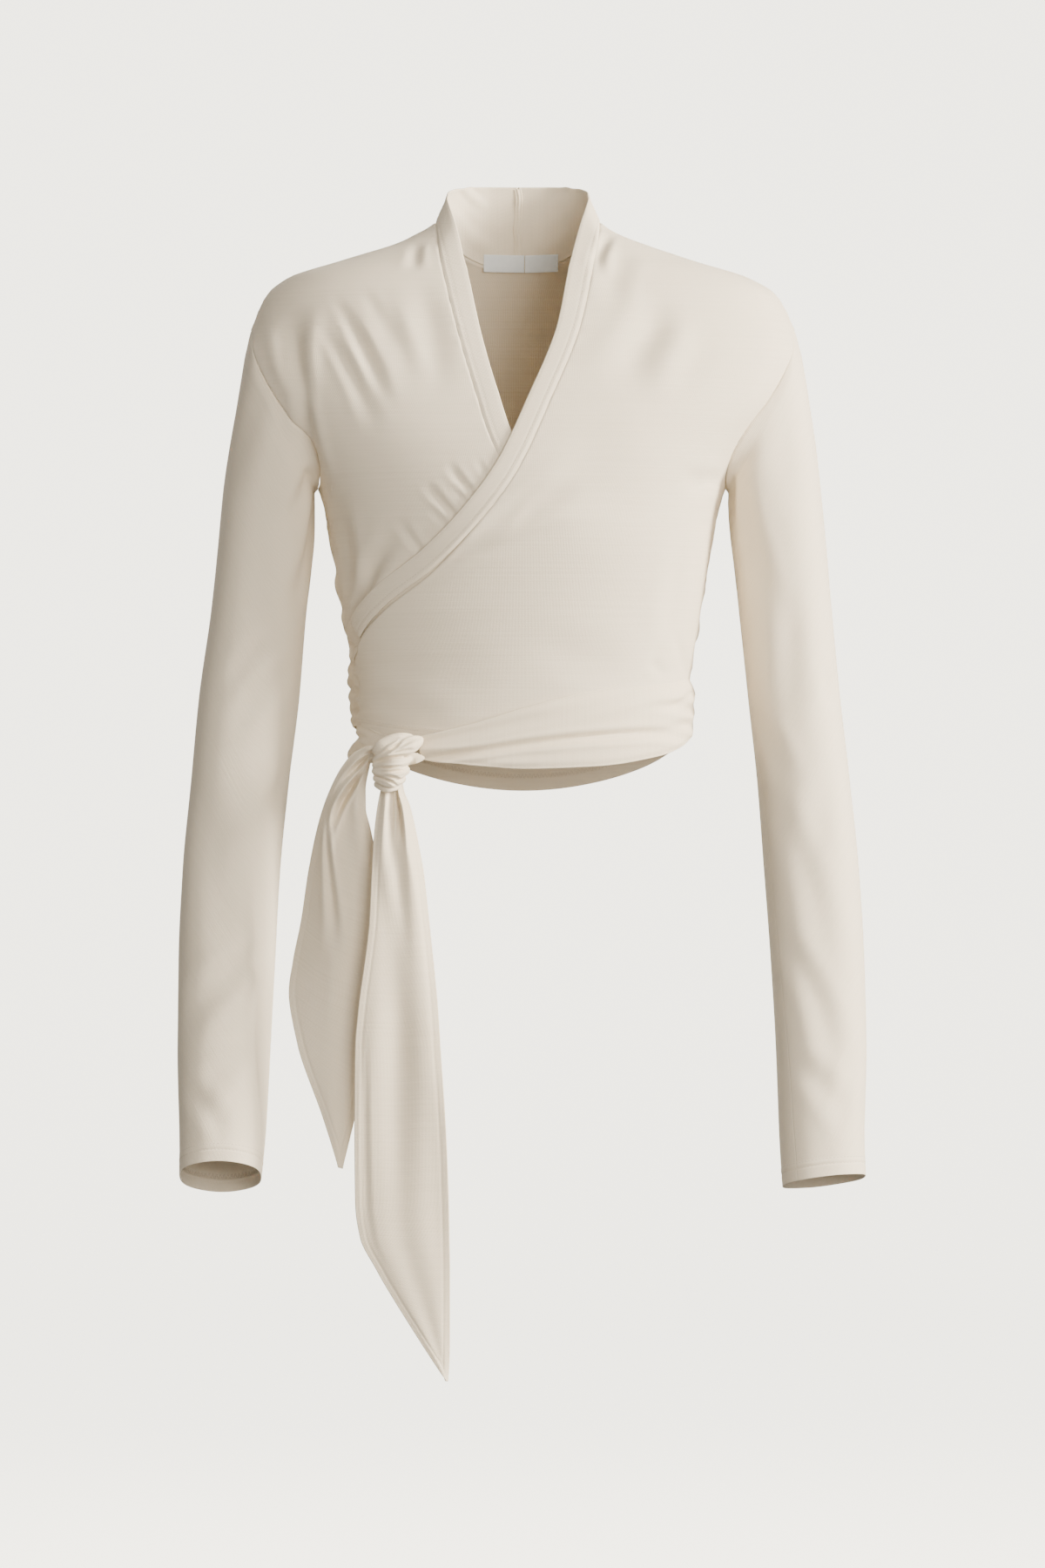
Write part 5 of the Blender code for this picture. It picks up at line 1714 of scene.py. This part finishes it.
class StageSettings(bpy.types.PropertyGroup):
    """Sizes and lights of the studio."""

    camera_distance: bpy.props.FloatProperty(
        name="Camera distance",
        description="Distance from the garment's middle",
        unit="LENGTH",
        default=6.0,
        min=1,
    )
    frame_height: bpy.props.FloatProperty(
        name="Frame height",
        description="Height of the picture at the garment",
        unit="LENGTH",
        default=1.224,
        min=0.1,
    )
    camera_height: bpy.props.FloatProperty(
        name="Camera height",
        description="Height of the level camera",
        unit="LENGTH",
        default=-0.434,
    )
    floor_height: bpy.props.FloatProperty(
        name="Floor height",
        description="Height of the floor below the garment",
        unit="LENGTH",
        default=-1.35,
    )
    key_power: bpy.props.FloatProperty(
        name="Key light",
        description="Power of the large light at the wearer's left",
        subtype="POWER",
        default=490,
    )
    fill_power: bpy.props.FloatProperty(
        name="Fill light",
        description="Power of the broad light in front",
        subtype="POWER",
        default=128,
    )
    back_power: bpy.props.FloatProperty(
        name="Back light",
        description="Power of the light behind",
        subtype="POWER",
        default=110,
    )
    room_light: bpy.props.FloatProperty(
        name="Room light",
        description="Strength of the light from all around",
        default=0.45,
        min=0,
    )


class WRAPTOP_OT_back(bpy.types.Operator):
    """Make the back panel, from the neck seam and shoulders to the hem"""

    bl_idname = "wraptop.back"
    bl_label = "Back"

    def execute(self, context):
        grid = back_panel()
        piece = shell("back_cloth", grid, thickness("cloth"), ((0, -1),))
        dress(piece, jersey(), "back")
        return {"FINISHED"}


class WRAPTOP_OT_fronts(bpy.types.Operator):
    """Make the two fronts: the wearer's right one beneath and the left one lapped over it"""

    bl_idname = "wraptop.fronts"
    bl_label = "Fronts"

    def execute(self, context):
        for side, node, area in ((-1, "front_under", 0.093), (1, "front_over", 0.101)):
            piece = shell(node + "_cloth", front_panel(side), thickness("cloth"), ((0, -1),))
            dress(piece, jersey(), node)
        return {"FINISHED"}


class WRAPTOP_OT_sleeves(bpy.types.Operator):
    """Make both long sleeves, set on the dropped shoulder and open at the cuff"""

    bl_idname = "wraptop.sleeves"
    bl_label = "Sleeves"

    def execute(self, context):
        for side, node, rows, crease_rows in (
            (1, "sleeve_left", LEFT_SLEEVE_ROWS, LEFT_SLEEVE_CREASES),
            (-1, "sleeve_right", RIGHT_SLEEVE_ROWS, RIGHT_SLEEVE_CREASES),
        ):
            grid = sleeve(side, rows, crease_rows)
            line = underarm_line(side, grid)
            piece = shell(node + "_cloth", grid, thickness("cloth"), ((0, -1),), closed=True, line=line)
            dress(piece, jersey(), node)
        return {"FINISHED"}


class WRAPTOP_OT_neckband(bpy.types.Operator):
    """Make both halves of the doubled neckband, joined at the centre back"""

    bl_idname = "wraptop.neckband"
    bl_label = "Neckband"

    def execute(self, context):
        allowance = shell("collar_seam_allowance", collar_allowance(), ALLOWANCE_THICKNESS, OPEN_RIMS)
        # The allowance takes the ties' darker, warmer finish: the jersey's own cream with painted shade on
        # the allowance
        dress(allowance, tie_cloth(), None)
        for side, node, sewn_on in ((1, "neckband_left", [allowance]), (-1, "neckband_right", [])):
            grid = neckband(side)
            rims = ((1, -1), (0, -1))
            piece = shell(node + "_cloth", grid, thickness("band"), rims, line=collar_line(grid))
            dress(piece, jersey(), node)
        return {"FINISHED"}


class WRAPTOP_OT_wound_ties(bpy.types.Operator):
    """Make the stretches of the two ties that are wound round the waist"""

    bl_idname = "wraptop.wound_ties"
    bl_label = "Wound ties"

    def execute(self, context):
        for node, rows, crease_rows, flat, ending in (
            ("sash_over_front", OVER_FRONT_ROWS, OVER_SASH_CREASES, (0.055, 0.31), "settled"),
            ("sash_over_back", OVER_BACK_ROWS, BACK_SASH_CREASES, (0.055, 0.36), "sewn on"),
            ("sash_under_back", UNDER_BACK_ROWS, UNDER_SASH_CREASES, (0.035, 0.42), "leaning in"),
        ):
            grid = wound_tie(rows, crease_rows, ending)
            piece = shell(node + "_cloth", grid, thickness("tie"), OPEN_RIMS)
            dress(piece, tie_cloth(), node)
        return {"FINISHED"}


class WRAPTOP_OT_knot(bpy.types.Operator):
    """Make the knot at the wearer's right hip from its turns of cloth"""

    bl_idname = "wraptop.knot"
    bl_label = "Knot"

    def execute(self, context):
        piece = knot_mesh()
        uv = piece.data.uv_layers.new(name=CLOTH_UV)
        corners = np.array([loop.vertex_index for loop in piece.data.loops])
        places = np.array([vertex.co for vertex in piece.data.vertices])[corners]
        angle = np.arctan2(places[:, 0] - KNOT_CENTRE[0] * MM, -(places[:, 1] - KNOT_CENTRE[1] * MM))
        uv.data.foreach_set("uv", np.stack((places[:, 2], angle * KNOT_GIRTH), -1).ravel())
        line = piece.data.attributes.new(LINE_ATTRIBUTE, "FLOAT", "POINT")
        line.data.foreach_set("value", np.full(len(piece.data.vertices), FAR_FROM_LINE))
        piece.data.shade_smooth()
        dress(piece, tie_cloth(), "knot")
        return {"FINISHED"}


class WRAPTOP_OT_tie_ends(bpy.types.Operator):
    """Make the two free ends that hang from the knot"""

    bl_idname = "wraptop.tie_ends"
    bl_label = "Tie ends"

    def execute(self, context):
        for node, rows, crease_rows, wave, turned_back, flat, area in (
            ("tie_end_long", LONG_TIE_ROWS, LONG_TIE_CREASES, 1.6, "inner", (0.072, 0.47), 0.0245),
            ("tie_end_short", SHORT_TIE_ROWS, SHORT_TIE_CREASES, -1.2, "outer", (0.075, 0.35), 0.0165),
        ):
            grid = tie_end(rows, crease_rows, wave, turned_back)
            piece = shell(node + "_cloth", grid, thickness("tie"), OPEN_RIMS)
            dress(piece, tie_cloth(), node)
        return {"FINISHED"}


class WRAPTOP_OT_labels(bpy.types.Operator):
    """Make the two blank woven labels at the back neck seam"""

    bl_idname = "wraptop.labels"
    bl_label = "Labels"

    def execute(self, context):
        finish = shared("woven label", label_material)
        for node, from_x, to_x, tilt_share in LABEL_ROWS:
            grid = label_grid(from_x, to_x, tilt_share)
            piece = shell(node + "_weave", grid, LABEL_WEAVE, OPEN_RIMS)
            dress(piece, finish, node)
        return {"FINISHED"}


class WRAPTOP_OT_stitching(bpy.types.Operator):
    """Sew the twin rows on the hems and cuffs, their looped backs and the row along the neckband"""

    bl_idname = "wraptop.stitching"
    bl_label = "Stitching"

    def execute(self, context):
        settings = context.scene.wrap_top
        pitch, length = settings.stitch_pitch, settings.stitch_pitch * STITCH_SHARE
        thread = shared("sewing thread", thread_material)
        grids = {
            "back": back_panel(),
            "over": front_panel(1),
            "under": front_panel(-1),
            "left": sleeve(1, LEFT_SLEEVE_ROWS, LEFT_SLEEVE_CREASES),
            "right": sleeve(-1, RIGHT_SLEEVE_ROWS, RIGHT_SLEEVE_CREASES),
        }
        hems, cuffs, backs = [], [], []
        for name, (points, towards, _) in grids.items():
            round_sleeve = name in ("left", "right")
            if round_sleeve:
                points = np.concatenate((points, points[:, :1]), 1)
                towards = np.concatenate((towards, towards[:, :1]), 1)
            normal = facing(points, towards)
            for row in HEM_STITCH_ROWS:
                (cuffs if round_sleeve else hems).append(inset_line(points, normal, 0, -1, row))
            places, ups = inset_line(points, normal, 0, -1, sum(HEM_STITCH_ROWS) / 2)
            backs.append(looped_back(places - ups * (thickness("cloth") + LOOP_STANDOFF), -ups))
        bands = []
        for side in (1, -1):
            points, towards, _ = neckband(side)
            bands.append(inset_line(points, facing(points, towards), 1, 0, BAND_STITCH_ROW))
        for name, paths, step, long in (
            ("hem_stitches", hems, pitch, length),
            ("cuff_stitches", cuffs, pitch, length),
            ("neckband_stitches", bands, pitch, length),
            ("looped_stitches", backs, LOOP_STEP * MM, LOOP_STEP * MM * LOOP_SHARE),
        ):
            dress(stitches(name, paths, step, long, thread), thread, None)
        return {"FINISHED"}


class WRAPTOP_OT_stage(bpy.types.Operator):
    """Set the pale studio, its soft lights and the camera"""

    bl_idname = "wraptop.stage"
    bl_label = "Stage"

    def execute(self, context):
        settings = context.scene.wrap_top_stage
        make_backdrop(settings)
        world = bpy.data.worlds.new("soft room")
        context.scene.world = world
        world.use_nodes = True
        background = world.node_tree.nodes["Background"]
        background.inputs["Color"].default_value = (*ROOM_COLOUR, 1)
        background.inputs["Strength"].default_value = settings.room_light
        for name, place, size, power, colour in LIGHTS:
            light = bpy.data.lights.new(name, "AREA")
            light.shape, light.size, light.size_y = "RECTANGLE", *size
            light.energy, light.color = getattr(settings, power), colour
            lamp = bpy.data.objects.new(name, light)
            lamp.location = place
            aim = Vector((0, 0, settings.camera_height)) - Vector(place)
            lamp.rotation_euler = aim.to_track_quat("-Z", "Y").to_euler()
            context.scene.collection.objects.link(lamp)
        camera = bpy.data.cameras.new("camera")
        camera.lens = camera.sensor_width * settings.camera_distance / settings.frame_height
        camera.clip_end = 60
        holder = bpy.data.objects.new("camera", camera)
        holder.location = (CAMERA_ASIDE * MM, -settings.camera_distance, settings.camera_height)
        holder.rotation_euler = (math.pi / 2, 0, 0)
        context.scene.collection.objects.link(holder)
        context.scene.camera = holder
        return {"FINISHED"}


class WRAPTOP_PT_panel(bpy.types.Panel):
    """Every piece of the garment, in the order of making"""

    bl_label = "Wrap Top"
    bl_idname = "WRAPTOP_PT_panel"
    bl_space_type = "VIEW_3D"
    bl_region_type = "UI"
    bl_category = "Wrap Top"

    def draw(self, context):
        for settings in (context.scene.wrap_top, context.scene.wrap_top_stage):
            column = self.layout.column(align=True)
            for name in settings.__annotations__:
                column.prop(settings, name)
        for operator in OPERATORS:
            self.layout.operator(operator.bl_idname)


OPERATORS = (
    WRAPTOP_OT_back,
    WRAPTOP_OT_fronts,
    WRAPTOP_OT_sleeves,
    WRAPTOP_OT_neckband,
    WRAPTOP_OT_wound_ties,
    WRAPTOP_OT_knot,
    WRAPTOP_OT_tie_ends,
    WRAPTOP_OT_labels,
    WRAPTOP_OT_stitching,
    WRAPTOP_OT_stage,
)
CLASSES = (ClothSettings, StageSettings, *OPERATORS, WRAPTOP_PT_panel)


def register():
    """Adds the settings, operators and panel to Blender."""
    for item in CLASSES:
        bpy.utils.register_class(item)
    bpy.types.Scene.wrap_top = bpy.props.PointerProperty(type=ClothSettings)
    bpy.types.Scene.wrap_top_stage = bpy.props.PointerProperty(type=StageSettings)


def unregister():
    """Takes them away again."""
    del bpy.types.Scene.wrap_top_stage
    del bpy.types.Scene.wrap_top
    for item in reversed(CLASSES):
        bpy.utils.unregister_class(item)


def main():
    """Makes every piece in order."""
    register()
    for operator in OPERATORS:
        group, name = operator.bl_idname.split(".")
        getattr(getattr(bpy.ops, group), name)()


if __name__ == "__main__":
    main()
